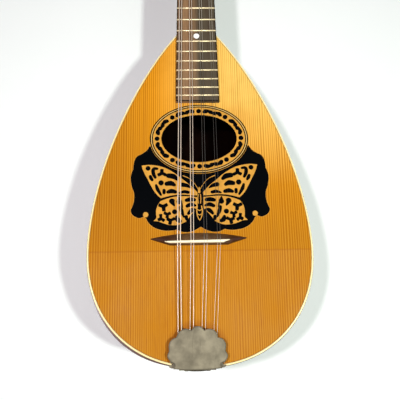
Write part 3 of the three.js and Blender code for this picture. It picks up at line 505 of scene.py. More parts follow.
def mirrored(runs, half_width, drop, top, steps, x=0.0):
    """A closed outline from smooth runs of shares of a half width and a drop, mirrored about x"""
    half = []
    for run in runs:
        points = [(across * half_width, top - down * drop) for across, down in run]
        half.extend(spline(points, steps)[1 if half else 0:])
    other = [Vector((-point.x, point.y)) for point in reversed(half) if point.x > GLUE_GAP]
    return [point + Vector((x, 0)) for point in [*half, *other]]


def on_plane(points, y):
    return [Vector((point[0], y, point[1])) for point in points]


def ellipse(width, height, x, z, count=128, start=0.0):
    return [(x + width / 2 * cos(start + 2 * pi * step / count),
             z + height / 2 * sin(start + 2 * pi * step / count)) for step in range(count)]


def closed_loop(bm, places, cap=False):
    """A ring of vertices at the places, with a face across it where it is capped"""
    corners = bmesh.ops.create_circle(bm, cap_ends=cap, segments=len(places), radius=1)["verts"]
    for corner, place in zip(corners, places):
        corner.co = place
    return corners


def loft(bm, rings):
    """A closed skin through rings of the same number of points, by extruding the first ring's face"""
    corners = closed_loop(bm, rings[0], cap=True)
    face = corners[0].link_faces[0]
    order = [corners.index(corner) for corner in face.verts]
    for index, ring in enumerate(rings[1:]):
        made = bmesh.ops.extrude_face_region(bm, geom=[face])["geom"]
        grown = next(item for item in made if isinstance(item, bmesh.types.BMFace))
        if index:
            bmesh.ops.delete(bm, geom=[face], context="FACES_ONLY")
        face = grown
        for corner, spot in zip(face.verts, order):
            corner.co = ring[spot]


def shift(bm, extruded, vec):
    """Moves the new corners of an extrusion"""
    moved = [item for item in extruded["geom"] if isinstance(item, bmesh.types.BMVert)]
    bmesh.ops.translate(bm, vec=vec, verts=moved)


def plate(bm, points, front, back, edge=0.0, segments=2):
    """A flat plate between two Y places, with its front edge rounded"""
    corners = closed_loop(bm, on_plane(points, front), cap=True)
    face = corners[0].link_faces[0]
    shift(bm, bmesh.ops.extrude_face_region(bm, geom=[face]), (0, back - front, 0))
    if edge:
        rim = [item for item in bm.edges if all(v in corners for v in item.verts)]
        round_off(bm, rim, edge, segments)


def round_off(bm, edges, width, segments=2):
    bmesh.ops.bevel(bm, geom=edges, offset=width, offset_type="OFFSET", segments=segments,
                    profile=0.5, affect="EDGES", material=-1, clamp_overlap=True)


def band(bm, outer, inner, front, back):
    """A flat band between two loops of the same number of points"""
    first = closed_loop(bm, on_plane(outer, front))
    second = closed_loop(bm, on_plane(inner, front))
    corners = {*first, *second}
    edges = [item for item in bm.edges if all(corner in corners for corner in item.verts)]
    faces = bmesh.ops.bridge_loops(bm, edges=edges)["faces"]
    shift(bm, bmesh.ops.extrude_face_region(bm, geom=faces), (0, back - front, 0))


def block(bm, low, high, edge=0.0):
    made = bmesh.ops.create_cube(bm, size=1)["verts"]
    low, high = Vector(low), Vector(high)
    size = high - low
    bmesh.ops.scale(bm, vec=(abs(size.x), abs(size.y), abs(size.z)), verts=made)
    bmesh.ops.translate(bm, vec=(low + high) / 2, verts=made)
    if edge:
        round_off(bm, list({item for corner in made for item in corner.link_edges}), edge)


def turned(bm, profile, matrix=Matrix(), steps=24):
    """A turned piece about Z from radius and height pairs that start and end on the axis"""
    corners = [bm.verts.new((radius, 0, height)) for radius, height in profile]
    edges = [bm.edges.new(pair) for pair in zip(corners, corners[1:])]
    before = set(bm.verts) - set(corners)
    bmesh.ops.spin(bm, geom=[*corners, *edges], cent=(0, 0, 0), axis=(0, 0, 1),
                   angle=2 * pi, steps=steps, use_merge=True)
    made = [corner for corner in bm.verts if corner not in before]
    bmesh.ops.remove_doubles(bm, verts=made, dist=1e-6)
    made = [corner for corner in bm.verts if corner not in before]
    bmesh.ops.transform(bm, matrix=matrix, verts=made)


def tube(bm, path, radius, sides=10):
    """A round wire along a path of points, with a steady turn from ring to ring"""
    places = [Vector(place) for place in path]
    across = None
    rings = []
    last = len(places) - 1
    for index, place in enumerate(places):
        along = (places[min(index + 1, last)] - places[max(index - 1, 0)]).normalized()
        if across is None:
            across = along.orthogonal().normalized()
        across = (across - along * across.dot(along)).normalized()
        up = along.cross(across)
        rings.append([place + radius * (cos(turn) * across + sin(turn) * up)
                      for turn in (2 * pi * side / sides for side in range(sides))])
    loft(bm, rings)


def piece(bm, name, finish_name, body=FIXED_BODY, replaces=(), sharp=35, matrix=Matrix()):
    """Closes off a mesh as a named piece that rides on a body"""
    bmesh.ops.transform(bm, matrix=Matrix.Scale(MM, 4) @ matrix, verts=bm.verts[:])
    bmesh.ops.recalc_face_normals(bm, faces=bm.faces[:])
    mesh = bpy.data.meshes.new(name)
    bm.to_mesh(mesh)
    bm.free()
    mesh.shade_smooth()
    mesh.set_sharp_from_angle(angle=radians(sharp))
    mesh.materials.append(finish(finish_name))
    made = bpy.data.objects.new(name, mesh)
    bpy.context.scene.collection.objects.link(made)
    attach(made, body)
    if replaces:
        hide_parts(*replaces)
    return made


def dress(name, finish_name):
    """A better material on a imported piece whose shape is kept"""
    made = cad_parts[name]
    for slot in made.material_slots:
        slot.material = finish(finish_name)


# Places worked out from the sizes
def bend_z():
    return -mm("scale_length") - mm("bend_below_saddle")


def tail_z():
    return -mm("scale_length") - mm("tail_below_saddle")


def body_top_z():
    return mm("body_top") - mm("scale_length")


def fingerboard_end():
    return fret_distance(sizes().fret_count + 1) - 1.8


def hole_z():
    return -fingerboard_end() - 1.6 - mm("rosette_height") / 2


def fret_distance(fret):
    return mm("scale_length") * (1 - 2 ** (-fret / 12))


def board_surface(z):
    """How far back the soundboard is at a height"""
    return max(0, (bend_z() - z) * tan(sizes().cant))


def head_frame():
    return Matrix.Translation((0, 0, NUT_DEPTH)) @ Matrix.Rotation(-sizes().headstock_tilt, 4, "X")


def tail_frame():
    return Matrix.Translation((0, 0, bend_z())) @ Matrix.Rotation(sizes().cant, 4, "X")


NUT_DEPTH = 5
NUT_WIDTH = 32.6
RIM_DEPTH = 2.9
INLAY_X = 0.7
TAIL_X = -3.9
# The power of the superellipses in the body's lower end, the bowl and the back of the neck
ROUNDNESS = 2.17
# Steps from the top corner of the soundboard along its shoulder, and from its widest place up to it
SHOULDER_STEP = (36.2, -43.2)
SHOULDER_RISE = 73.2


def rounded(value):
    return copysign(abs(value) ** (2 / ROUNDNESS), value)


def edge_point(share):
    """The edge of the body: share 0 is the corner at the neck, 1 the widest line and 2 the tail"""
    half, top, bend = mm("body_half_width"), body_top_z(), bend_z()
    if share > 1:
        turn = (share - 1) * pi / 2
        low = (bend - tail_z()) * rounded(sin(turn))
        return Vector((half * max(0, rounded(cos(turn))), bend - low))
    start = mm("body_join_width") / 2
    points = [(start, top), (start + SHOULDER_STEP[0], top + SHOULDER_STEP[1]),
              (half, bend + SHOULDER_RISE), (half, bend)]
    weights = [(1 - share) ** 3, 3 * share * (1 - share) ** 2, 3 * share ** 2 * (1 - share), share ** 3]
    return sum((Vector(point) * weight for point, weight in zip(points, weights)), Vector((0, 0)))


def edge_normal(share):
    step = 1e-4
    along = edge_point(min(2, share + step)) - edge_point(max(0, share - step))
    return Vector((-along.y, along.x)).normalized()


def edge_side(inset, swell, steps):
    points = []
    for step in range(2 * steps + 1):
        share = step / steps
        out = swell * sin(pi * min(1, max(0, (share - 1.2) / 0.74)))
        point = edge_point(share) - edge_normal(share) * (inset - out)
        points.append(Vector((0, point.y)) if step == 2 * steps else point)
    return points


def edge_loop(inset, steps=48, left_shade_swell=0.0):
    right = edge_side(inset, 0, steps)
    left = [Vector((-point.x, point.y)) for point in reversed(edge_side(inset, left_shade_swell, steps)[:-1])]
    top = [left[-1].lerp(right[0], step / 8) for step in range(1, 8)]
    return [*right, *left, *top]


def on_board(points, front):
    """Points drawn in X and Z, at a depth behind the face of the soundboard"""
    return [Vector((point[0], front + board_surface(point[1]), point[1])) for point in points]


def depth_at(share):
    width, half = edge_point(share).x, mm("body_half_width")
    if share > 1:
        return mm("bowl_depth") * width / half
    start = mm("body_join_width") / 2
    return mm("heel_depth") + (mm("bowl_depth") - mm("heel_depth")) * (width - start) / (half - start)


def bowl_point(share, turn, inset):
    normal = edge_normal(share)
    edge = edge_point(share) - normal * inset
    back = RIM_DEPTH + board_surface(edge.y) + (depth_at(share) - inset * normal.x) * rounded(sin(turn))
    return Vector((edge.x * rounded(cos(turn)), back, edge.y))


# Body
def bridge_rings(bm, rings, closed=False):
    """A skin between rings of vertices, and from the last to the first where it is closed"""
    pairs = list(zip(rings, rings[1:]))
    if closed:
        pairs.append((rings[-1], rings[0]))
    for first, second in pairs:
        corners = {*first, *second}
        edges = {item for corner in corners for item in corner.link_edges
                 if item.other_vert(corner) in corners}
        own = [item for item in edges if (item.verts[0] in first) == (item.verts[1] in first)]
        bmesh.ops.bridge_loops(bm, edges=own)


def edge_band(name, finish_name, section, left_shade_swell=0.0):
    """A strip round the edge of the soundboard, from its section as insets and depths"""
    bm = bmesh.new()
    rings = [closed_loop(bm, on_board(edge_loop(inset, left_shade_swell=(inset < 0.3) * left_shade_swell), depth))
             for inset, depth in section]
    bridge_rings(bm, rings, closed=True)
    piece(bm, name, finish_name, replaces=["binding"])


def make_soundboard():
    outer = edge_loop(mm("binding_width") + GLUE_GAP)
    width, height, centre = mm("hole_width") / 2, mm("hole_height") / 2, hole_z()
    inner = []
    for point in outer:
        turn = atan2((point.y - centre) / height, (point.x - INLAY_X) / width)
        inner.append((INLAY_X + width * cos(turn), centre + height * sin(turn)))
    bm = bmesh.new()
    bridge_rings(bm, [closed_loop(bm, on_plane(outer, 0)), closed_loop(bm, on_plane(inner, 0))])
    bmesh.ops.bisect_plane(bm, geom=[*bm.verts, *bm.edges, *bm.faces], dist=1e-4,
                           plane_co=(0, 0, bend_z()), plane_no=(0, 0, 1))
    for corner in bm.verts:
        corner.co.y = board_surface(corner.co.z)
    shift(bm, bmesh.ops.extrude_face_region(bm, geom=bm.faces[:]), (0, mm("board_thickness"), 0))
    piece(bm, "top_board", "spruce", replaces=["soundboard"], sharp=3)

    edge_band("edge_binding", "cream", [
        (1.5, 0.0), (0.8, 0.0), (0.5, 0.12), (0.35, 0.4), (0.35, 1.1), (0.5, 1.25), (1.5, 1.25)])
    edge_band("edge_line", "pale_line", [(2.0, 0.0), (1.55, 0.0), (1.55, 1.2), (2.0, 1.2)])
    # The liner is the bowl's dark edge; on the left side only it swells out past the cream edge near the
    # tail, as painted shade.
    edge_band("edge_liner", "bowl", [(2.0, 1.3), (0.25, 1.3), (0.0, 1.5), (0.0, 2.6), (2.0, 2.6)],
              left_shade_swell=1.5)

    # The blocks, lining and braces take the near-black inner wood, painted shade inside the bowl.
    for name in ("neck_block", "tail_block", "rim_lining", "brace_upper", "brace_lower"):
        dress(name, "inside")


def rib_stations():
    return [*(step / 28 for step in range(28)), *(1 + step / 28 * 0.95 for step in range(29))]


def make_bowl():
    count = sizes().rib_count
    for rib in range(count):
        rings = []
        for share in rib_stations():
            radius = (edge_point(share).x + depth_at(share)) / 2
            outer, inner = [], []
            for step in range(11):
                across = step / 5 - 1
                place = rib + 0.5 + across * (0.5 - 0.3 / radius * count / pi)
                outer.append(bowl_point(share, pi * min(max(place, 0), count) / count,
                                        0.6 + 0.35 * abs(across) ** 3))
                inner.append(bowl_point(share, pi * (rib + step / 10) / count, 1.8))
            rings.append([*outer, *reversed(inner)])
        bm = bmesh.new()
        loft(bm, rings)
        made = piece(bm, f"rib_{rib + 1}", "bowl", replaces=[f"bowl_rib_{rib + 1}"],
                     sharp=50)
        # The ribs' inner faces take the near-black inner wood too, painted shade inside the bowl.
        made.data.materials.append(finish("inside"))
        for face in made.data.polygons:
            if face.normal.dot(Vector((0, RIM_DEPTH * MM, face.center.z)) - face.center) > 0.01:
                face.material_index = 1
    bm = bmesh.new()
    for seam in range(1, count):
        rings = []
        for share in rib_stations():
            radius = (edge_point(share).x + depth_at(share)) / 2
            middle, half = pi * seam / count, 0.32 / radius
            rings.append([bowl_point(share, middle + half * side, inset)
                          for side, inset in ((-1, 0.9), (0, 0.82), (1, 0.9), (0.4, 1.5), (-0.4, 1.5))])
        loft(bm, rings)
    piece(bm, "rib_lines", "seam", sharp=50)


# Inlays on the soundboard
def ring_at(distance, count=160):
    """An oval line at a distance outside the sound hole"""
    width, height = mm("hole_width") + 2 * distance, mm("hole_height") + 2 * distance
    return ellipse(width, height, INLAY_X, hole_z(), count)


def grown(points, distance):
    """A closed outline moved out by a distance, or in by a negative one"""
    places = [Vector(point) for point in points]
    count = len(places)
    area = sum(a.x * b.y - b.x * a.y for a, b in zip(places, [*places[1:], places[0]]))
    out = []
    for index, place in enumerate(places):
        first = (place - places[index - 1]).normalized()
        second = (places[(index + 1) % count] - place).normalized()
        normal = Vector((first.y + second.y, -first.x - second.x)).normalized()
        reach = distance / max(0.5, normal.x * second.y - normal.y * second.x)
        out.append(place + normal * copysign(reach, reach * area))
    return out


GUARD_RUNS = [
    [(44.1, 87.0), (46.7, 82.7), (50.6, 79.6), (55.0, 77.3), (57.4, 73.6), (58.3, 69.0), (58.5, 65.2)],
    [(58.5, 65.2), (60.0, 61.3), (60.7, 56.3), (59.6, 49.1), (57.5, 42.9), (57.4, 36.7), (58.6, 31.5),
     (60.1, 27.7), (59.0, 24.1), (55.5, 21.3), (51.6, 20.5), (48.6, 21.8)],
    [(48.6, 21.8), (47.4, 20.6), (46.7, 20.0)],
    [(46.7, 20.0), (45.1, 16.8), (41.2, 12.9), (35.2, 10.1), (28.4, 9.1), (23.0, 9.4), (20.5, 10.1)],
    [(20.5, 10.1), (16.2, 8.1), (10.8, 7.6), (5.3, 9.1), (0, 12.1)],
]
UPPER_WING = [
    [(2.3, 43.6), (4.4, 46.2), (8, 50), (12, 53.4), (16, 56.8), (20, 60.2), (25, 63.7), (30, 66.5),
     (35, 68.2), (40, 69.2), (45, 69.6), (50.9, 69)],
    [(50.9, 69), (49.8, 65), (48, 60.8), (45.6, 56.3), (43, 51), (40.3, 46), (37.4, 42), (34, 38.9)],
    [(34, 38.9), (30, 40.1), (25, 41.3), (20, 41.9), (14, 42), (8, 41.3), (2.6, 41.2)],
]
LOWER_WING = [
    [(2.6, 39.6), (9, 40.2), (15, 40.6), (20, 40.4), (25, 39.6), (30, 38.1), (34.3, 36.4)],
    [(34.3, 36.4), (36.6, 33), (38, 29), (38.1, 25), (37.9, 21.5), (40.4, 18.8)],
    [(40.4, 18.8), (36.4, 18.4), (33, 17.1), (29, 15.7), (25, 15), (20, 15), (16, 16.3), (12.2, 18.3),
     (10.3, 21), (7, 25.2), (3.8, 28.6)],
    [(3.8, 28.6), (2.5, 31), (2.6, 39.6)],
]
WING_STROKES = [
    ([(37.3, 65.9), (39.8, 66), (40.9, 64.3), (40.4, 60.8), (39, 57.9)], [1.4, 1.8, 2, 2, 1.5]),
    ([(43.3, 59), (42.6, 57.2), (41.6, 55.6)], [1.6, 2, 1.5]),
    ([(20, 56.2), (23, 58.6), (27.6, 59.4)], [1.8, 3, 2.6]),
    ([(22.4, 50.9), (25.4, 52.4), (29, 52)], [1.8, 2.9, 2.4]),
    ([(21.6, 44.6), (25, 45.3), (28, 44.4)], [2, 2.6, 1.8]),
    ([(31.3, 46), (31.3, 43.8)], [1.8, 1.8]),
    ([(38.2, 50.8), (36.9, 47), (34, 42)], [1.3, 2, 1.2]),
    ([(8, 48), (11, 50), (15, 51)], [0.9, 2.6, 3.2]),
    ([(10.4, 44), (14, 44.6), (18, 43.5)], [2.2, 2.4, 1.2]),
    ([(5.2, 37.2), (8.6, 37.5), (12, 36.9)], [2.4, 3.2, 2.4]),
    ([(4.4, 32.1), (8, 33), (11.4, 31.7)], [1.6, 3, 2.4]),
    ([(4.6, 28.7), (7.4, 28), (10.4, 25)], [1.2, 3, 2]),
    ([(18.4, 39.6), (18.2, 35.8)], [0.9, 3.1]),
    ([(16.2, 34.4), (15.6, 30.6)], [0.9, 0.9]),
    ([(17.2, 30.6), (16.2, 27.2), (14.4, 22)], [1.8, 2.2, 0.9]),
    ([(24.5, 36.1), (23.9, 34.6), (22.6, 32.3)], [3.2, 2.2, 1]),
    ([(12.4, 22), (12, 19.9)], [2.6, 2]),
    ([(20.4, 22), (19.6, 19.6), (17.6, 18.4)], [1.8, 2.6, 2]),
]
WING_DOTS = [(45.3, 66.4, 1.9), (33.9, 52.9, 2.1), (22.3, 26.7, 1.95)]
WING_POINTS = [
    ((33.1, 61.9), [(29.8, 60), (36.4, 60.2), (33.2, 65.2)]),
    ((31.9, 31.8), [(28.7, 33.3), (35.6, 33), (31.4, 27.8)]),
    ((28.3, 24.6), [(25.9, 25.7), (31, 26), (28.7, 21.4)]),
    ((33.9, 20.9), [(31.4, 19), (36.2, 19.6), (34.2, 24.4)]),
    ((25.6, 19.3), [(22.4, 20.7), (28.6, 20.6), (26.4, 15.9)]),
]


def smooth_runs(runs, steps):
    points = []
    for run in runs:
        points.extend(spline(run, steps)[1 if points else 0:])
    return points


def board_points(points, side=1, lift=0.0):
    """Points above the saddle and out from the middle of the inlays, as places on the board"""
    return [Vector((INLAY_X + side * point[0], point[1] + lift - mm("scale_length")))
            for point in points]


def stroke(points, widths, steps=5):
    """The outline of a soft brush stroke through points, as wide as the widths say along it"""
    run = spline(points, steps)
    last = len(run) - 1
    left, right = [], []
    for index, place in enumerate(run):
        along = (run[min(index + 1, last)] - run[max(index - 1, 0)]).normalized()
        side = Vector((-along.y, along.x))
        spot = index / last * (len(widths) - 1)
        low = min(int(spot), len(widths) - 2)
        half = (widths[low] + (widths[low + 1] - widths[low]) * (spot - low)) / 2
        left.append(place + side * half)
        right.append(place - side * half)
        if index in (0, last):
            outward = along * (half if index else -half)
            cap = [place + outward * sin(turn) + side * half * cos(turn)
                   for turn in (pi * step / 6 for step in range(1, 6))]
            if index:
                end_cap = cap
            else:
                start_cap = list(reversed(cap))
    return [*left, *end_cap, *reversed(right), *start_cap]


def disc(x, z, radius, count=20):
    return ellipse(2 * radius, 2 * radius, x, z, count)


def band_place(turn, distance):
    """A place on the rosette band: a turn round it and a distance outside the sound hole"""
    return Vector((INLAY_X + (mm("hole_width") / 2 + distance) * cos(turn),
                   hole_z() + (mm("hole_height") / 2 + distance) * sin(turn)))


ROSETTE_DOTS = (0, 50.5, 90, 129.5, 180, 230.5, 270, 309.5)
SCROLL = [(0, -0.2, 3.4), (0.1, 0.5, 4), (0.24, 0.6, 2.8), (0.36, -0.2, 4), (0.5, -0.5, 2.6),
          (0.62, 0, 4), (0.76, 0.6, 2.8), (0.9, 0.3, 4.3), (1, -0.5, 3.4)]


def make_rosette():
    band_middle = 3.95
    bm = bmesh.new()
    band(bm, ring_at(7.6), ring_at(0.15), -0.36, 0)
    piece(bm, "rosette_band", "golden", replaces=["rosette"])
    bm = bmesh.new()
    band(bm, ring_at(0), ring_at(-0.12), -0.35, mm("board_thickness"))
    for low, high in ((0.02, 0.15), (7.6, 8.6), (9.3, 10.35)):
        band(bm, ring_at(high), ring_at(low), -0.35, 0)
    piece(bm, "rosette_dark_lines", "guard", replaces=["rosette"])
    bm = bmesh.new()
    band(bm, ring_at(9.3), ring_at(8.6), -0.37, 0)
    piece(bm, "rosette_pale_lines", "pale_line", replaces=["rosette"])
    bm = bmesh.new()
    for index, degrees in enumerate(ROSETTE_DOTS):
        start = radians(degrees)
        centre = band_place(start, band_middle)
        plate(bm, disc(centre.x, centre.y, 2.2), -0.4, -0.3)
        end = radians(ROSETTE_DOTS[(index + 1) % 8] + (360 if index == 7 else 0))
        gap = radians(8 if abs(cos((start + end) / 2)) < 0.72 else 10.5)
        span = end - start - 2 * gap
        points = [band_place(start + gap + span * along, band_middle + out) for along, out, _ in SCROLL]
        plate(bm, stroke(points, [width for _, _, width in SCROLL], 4), -0.4, -0.3)
    piece(bm, "rosette_marks", "guard", replaces=["rosette"])


def make_guard():
    right = board_points(smooth_runs(GUARD_RUNS, 4), 1, 0.8)
    left = board_points(smooth_runs(GUARD_RUNS, 4), -1, 0.8)
    width, height = mm("rosette_width") / 2, mm("rosette_height") / 2
    first = right[0]
    start = atan2((first.y - hole_z()) / height, (first.x - INLAY_X) / width)
    turns = [pi - start + (pi + 2 * start) * step / 80 for step in range(1, 80)]
    arc = [Vector((INLAY_X + width * cos(turn), hole_z() + height * sin(turn))) for turn in turns]
    outline = [*right, *reversed(left[:-1]), *arc]
    bm = bmesh.new()
    plate(bm, outline, -0.3, 0)
    piece(bm, "guard_line", "golden")
    bm = bmesh.new()
    plate(bm, grown(outline, -0.25), -0.34, 0)
    piece(bm, "guard_plate", "guard", replaces=["pickguard"])


def three_pointed(centre, tips):
    """The outline of a mark with three soft points"""
    middle = Vector(centre)
    order = sorted(tips, key=lambda tip: atan2(tip[1] - centre[1], tip[0] - centre[0]))
    out = []
    for index, tip in enumerate(order):
        after = Vector(order[(index + 1) % 3])
        tip = middle + (Vector(tip) - middle) * 1.1
        side = Vector((middle.y - tip.y, tip.x - middle.x)).normalized() * 1.5
        waist = (tip + after) / 2
        out.extend([tip - side, tip + (tip - middle).normalized() * 0.3, tip + side,
                    waist.lerp(middle, 0.05)])
    return out


def make_butterfly():
    bm = bmesh.new()
    for side in (1, -1):
        plate(bm, board_points(smooth_runs(UPPER_WING, 4), side), -0.38, 0)
        plate(bm, board_points(smooth_runs(LOWER_WING, 4), side), -0.38, 0)
    piece(bm, "butterfly_wings", "golden", replaces=["butterfly_inlay"])
    bm = bmesh.new()
    for side in (1, -1):
        for points, widths in WING_STROKES:
            bold = [(1.3 if points[0][0] < 13 else 1.65) * width for width in widths]
            plate(bm, board_points(stroke(points, bold), side), -0.4, -0.3)
        for x, z, radius in WING_DOTS:
            plate(bm, board_points(disc(x, z, 1.15 * radius), side), -0.4, -0.3)
        for centre, tips in WING_POINTS:
            plate(bm, board_points(three_pointed(centre, tips), side), -0.4, -0.3)
    piece(bm, "butterfly_marks", "guard")
    bm = bmesh.new()
    parts = [
        stroke([(-0.8, 48.6), (-0.8, 46), (-0.8, 44.2)], [0.5, 2, 2.2]),
        stroke([(-1.7, 42), (-2.1, 38), (-1.7, 34)], [0.6, 0.7, 0.6]),
        stroke([(0.1, 42), (0.5, 38), (0.1, 34)], [0.6, 0.7, 0.6]),
        stroke([(-2.6, 31.6), (-3.2, 27), (-2.4, 22), (-0.8, 18.8)], [0.8, 0.9, 0.8, 0.6]),
        stroke([(1, 31.6), (1.6, 27), (0.8, 22), (-0.8, 18.8)], [0.8, 0.9, 0.8, 0.6]),
        stroke([(-2.4, 28.4), (-0.8, 27.6), (0.8, 28.4)], [0.7, 0.8, 0.7]),
        stroke([(-2.2, 24.4), (-0.8, 23.6), (0.6, 24.4)], [0.7, 0.8, 0.7]),
        stroke([(-0.4, 46), (3, 51.6), (7.4, 56.4), (13, 59.2)], [0.5, 0.35, 0.35, 0.9]),
        stroke([(-1.2, 46), (-4.6, 51.6), (-9, 56.4), (-14.6, 59.2)], [0.5, 0.35, 0.35, 0.9]),
    ]
    for part in parts:
        plate(bm, board_points(part), -0.39, -0.3)
    for side in (1, -1):
        plate(bm, board_points(disc(47, 24.5, 2.3), side), -0.39, -0.3)
    piece(bm, "butterfly_body", "golden")


# Neck and headstock
HEAD_RUNS = [
    [(0.79, -0.05), (0.79, 0)],
    [(0.79, 0), (0.93, 0.1), (0.93, 0.4), (1, 0.8), (0.93, 0.87)],
    [(0.93, 0.87), (0.8, 0.955), (0.5, 0.93)],
    [(0.5, 0.93), (0.28, 0.985), (0, 1)],
]
HEAD_THICKNESS = 14
NOTES = "gdae"
GAUGES = {"g": 0.9, "d": 0.63, "a": 0.38, "e": 0.28}
POST_X = 20
POST_SPOTS = (30, 53, 76, 99)
BORE = 3.4
# Gap between courses, gap in a course and middle of the row, at the nut, the saddle and the hooks
STRING_ROWS = ((8.6, 2, 0), (11.05, 2.3, -1.3), (9.4, 2.9, TAIL_X))


def string_list():
    """Name, radius and places across the nut, the saddle and the hooks, from the bass side"""
    strings = []
    for course, note in enumerate(NOTES):
        for pair in (0, 1):
            places = [(course - 1.5) * course_gap + (pair - 0.5) * pair_gap + middle
                      for course_gap, pair_gap, middle in STRING_ROWS]
            strings.append((f"{note}{pair + 1}", GAUGES[note] / 2, *places))
    return strings


def post_places():
    """Name, side and place of each string post on the headstock"""
    names = [string[0] for string in string_list()]
    places = []
    for index, name in enumerate(names):
        side = -1 if index < 4 else 1
        places.append((name, side, POST_X * side, POST_SPOTS[index if side < 0 else 7 - index]))
    return places


def cut_away(made, cutter):
    """Takes the room of a cutting mesh out of a finished piece"""
    mesh = bpy.data.meshes.new("cutter")
    bmesh.ops.transform(cutter, matrix=Matrix.Scale(MM, 4), verts=cutter.verts[:])
    bmesh.ops.recalc_face_normals(cutter, faces=cutter.faces[:])
    cutter.to_mesh(mesh)
    cutter.free()
    tool = bpy.data.objects.new("cutter", mesh)
    bpy.context.scene.collection.objects.link(tool)
    change = made.modifiers.new("Cut", "BOOLEAN")
    change.operation = "DIFFERENCE"
    change.object = tool
    change.use_self = True
    bpy.context.view_layer.update()
    cut = bpy.data.meshes.new_from_object(made.evaluated_get(bpy.context.evaluated_depsgraph_get()))
    made.modifiers.clear()
    made.data = cut
    cut.set_sharp_from_angle(angle=radians(35))
    bpy.data.objects.remove(tool)


def rod(bm, radius, start, end, steps=24, edge=0.0):
    """A round bar between two points"""
    start, end = Vector(start), Vector(end)
    turn = Vector((0, 0, 1)).rotation_difference(end - start).to_matrix().to_4x4()
    reach = (end - start).length
    profile = [(0, 0), (radius, 0), (radius, reach), (0, reach)]
    if edge:
        profile[1:3] = [(radius - edge, 0), (radius, edge), (radius, reach - edge), (radius - edge, reach)]
    turned(bm, profile, Matrix.Translation(start) @ turn, steps)


def neck_ring(z, half, front, depth):
    """The section of the neck: flat in front and round behind"""
    ring = [Vector((half, front, z)), Vector((half, front + 1.4, z))]
    for facet in range(25):
        turn = pi * facet / 24
        back = RIM_DEPTH + (depth - RIM_DEPTH) * rounded(sin(turn))
        ring.append(Vector((half * rounded(cos(turn)), back, z)))
    return [*ring, Vector((-half, front + 1.4, z)), Vector((-half, front, z))]


def make_neck():
    heel_z = body_top_z() + GLUE_GAP
    rings = [neck_ring(z, half, front, depth) for z, half, front, depth in (
        (10, 14, 1.45, 15), (7, 15.6, 0.7, 17.5), (5, 16.1, 0.02, 18.2), (3, 16.2, 0, 18.2))]
    for step in range(41):
        share = (step / 40) ** 0.6
        half = (NUT_WIDTH + (mm("body_join_width") - NUT_WIDTH) * share) / 2
        shaft = 17.5 + 3 * share
        depth = shaft + (RIM_DEPTH + mm("heel_depth") - 20.5) * share ** 8
        rings.append(neck_ring(heel_z * share, half, 0.0, depth))
    bm = bmesh.new()
    loft(bm, rings)
    piece(bm, "neck_shaft", "neck", replaces=["neck"], sharp=50)

    outline = mirrored(HEAD_RUNS, 33, -138, 0, 8)
    outline = [point for point in outline if point.y > 2]
    outline = [Vector((26.1, 1.0)), *outline, Vector((-26.1, 1.0))]
    bm = bmesh.new()
    plate(bm, outline, 0, HEAD_THICKNESS)
    rim = [item for item in bm.edges if abs(item.verts[0].co.y - item.verts[1].co.y) < 1e-6]
    round_off(bm, rim, 1.2, 3)
    head = piece(bm, "headstock", "neck", replaces=["neck"], matrix=head_frame())
    cutter = bmesh.new()
    for name, side, x, z in post_places():
        rod(cutter, BORE, (x, -5, z), (x, 25, z))
    bmesh.ops.transform(cutter, matrix=head_frame(), verts=cutter.verts[:])
    cut_away(head, cutter)


# Fingerboard and nut
BOARD_THICKNESS = 4
BOARD_WIDTHS = (33.2, 39.4)
FRET_CROWN = [
    (-0.8, 0.4), (-0.78, -0.3), (-0.6, -0.66), (-0.3, -0.92), (0, -1), (0.3, -0.92), (0.6, -0.66),
    (0.78, -0.3), (0.8, 0.4),
]


def fingerboard_half(distance):
    near, far = BOARD_WIDTHS
    return (near + (far - near) * distance / fingerboard_end()) / 2


def make_fingerboard():
    end = fingerboard_end()
    near, far = fingerboard_half(0), fingerboard_half(end)
    bm = bmesh.new()
    plate(bm, [(-near, 0), (-far, -end), (far, -end), (near, 0)], -BOARD_THICKNESS, 0)
    rim = [item for item in bm.edges
           if all(corner.co.y < 0.1 - BOARD_THICKNESS for corner in item.verts)]
    round_off(bm, rim, 0.35)
    piece(bm, "fingerboard_wood", "fingerboard", replaces=["fingerboard"])

    bm = bmesh.new()
    for fret in range(1, sizes().fret_count + 1):
        distance = fret_distance(fret)
        half = fingerboard_half(distance)
        rings = []
        for x, share in ((-half + 0.1, 0.5), (-half + 0.7, 1), (half - 0.7, 1), (half - 0.1, 0.5)):
            rings.append([Vector((x, y * (share if y < 0 else 1) - BOARD_THICKNESS, z - distance))
                          for z, y in FRET_CROWN])
        loft(bm, rings)
    piece(bm, "frets", "fret_wire", sharp=60)

    # Dark strips over the fingerboard's edges and end, painted shade along its sides and end.
    bm = bmesh.new()
    for side in (1, -1):
        strip = [(side * (near - 0.9), -0.3), (side * near, -0.3), (side * far, 0.3 - end),
                 (side * (far - 1.1), 0.3 - end)]
        plate(bm, strip, -4.03, -0.1)
    plate(bm, [(-far, 0.1 - end), (-far, 1.1 - end), (far, 1.1 - end), (far, 0.1 - end)], -4.03, -0.1)
    piece(bm, "fingerboard_edges", "ebony")
    bm = bmesh.new()
    for low, high in ((4, 5), (9, 10)):
        middle = -(fret_distance(low) + fret_distance(high)) / 2
        rod(bm, 2.7, (0, -4.04, middle), (0, -3.5, middle), steps=32)
    piece(bm, "position_dots", "pearl")
    dress("nut", "bone")


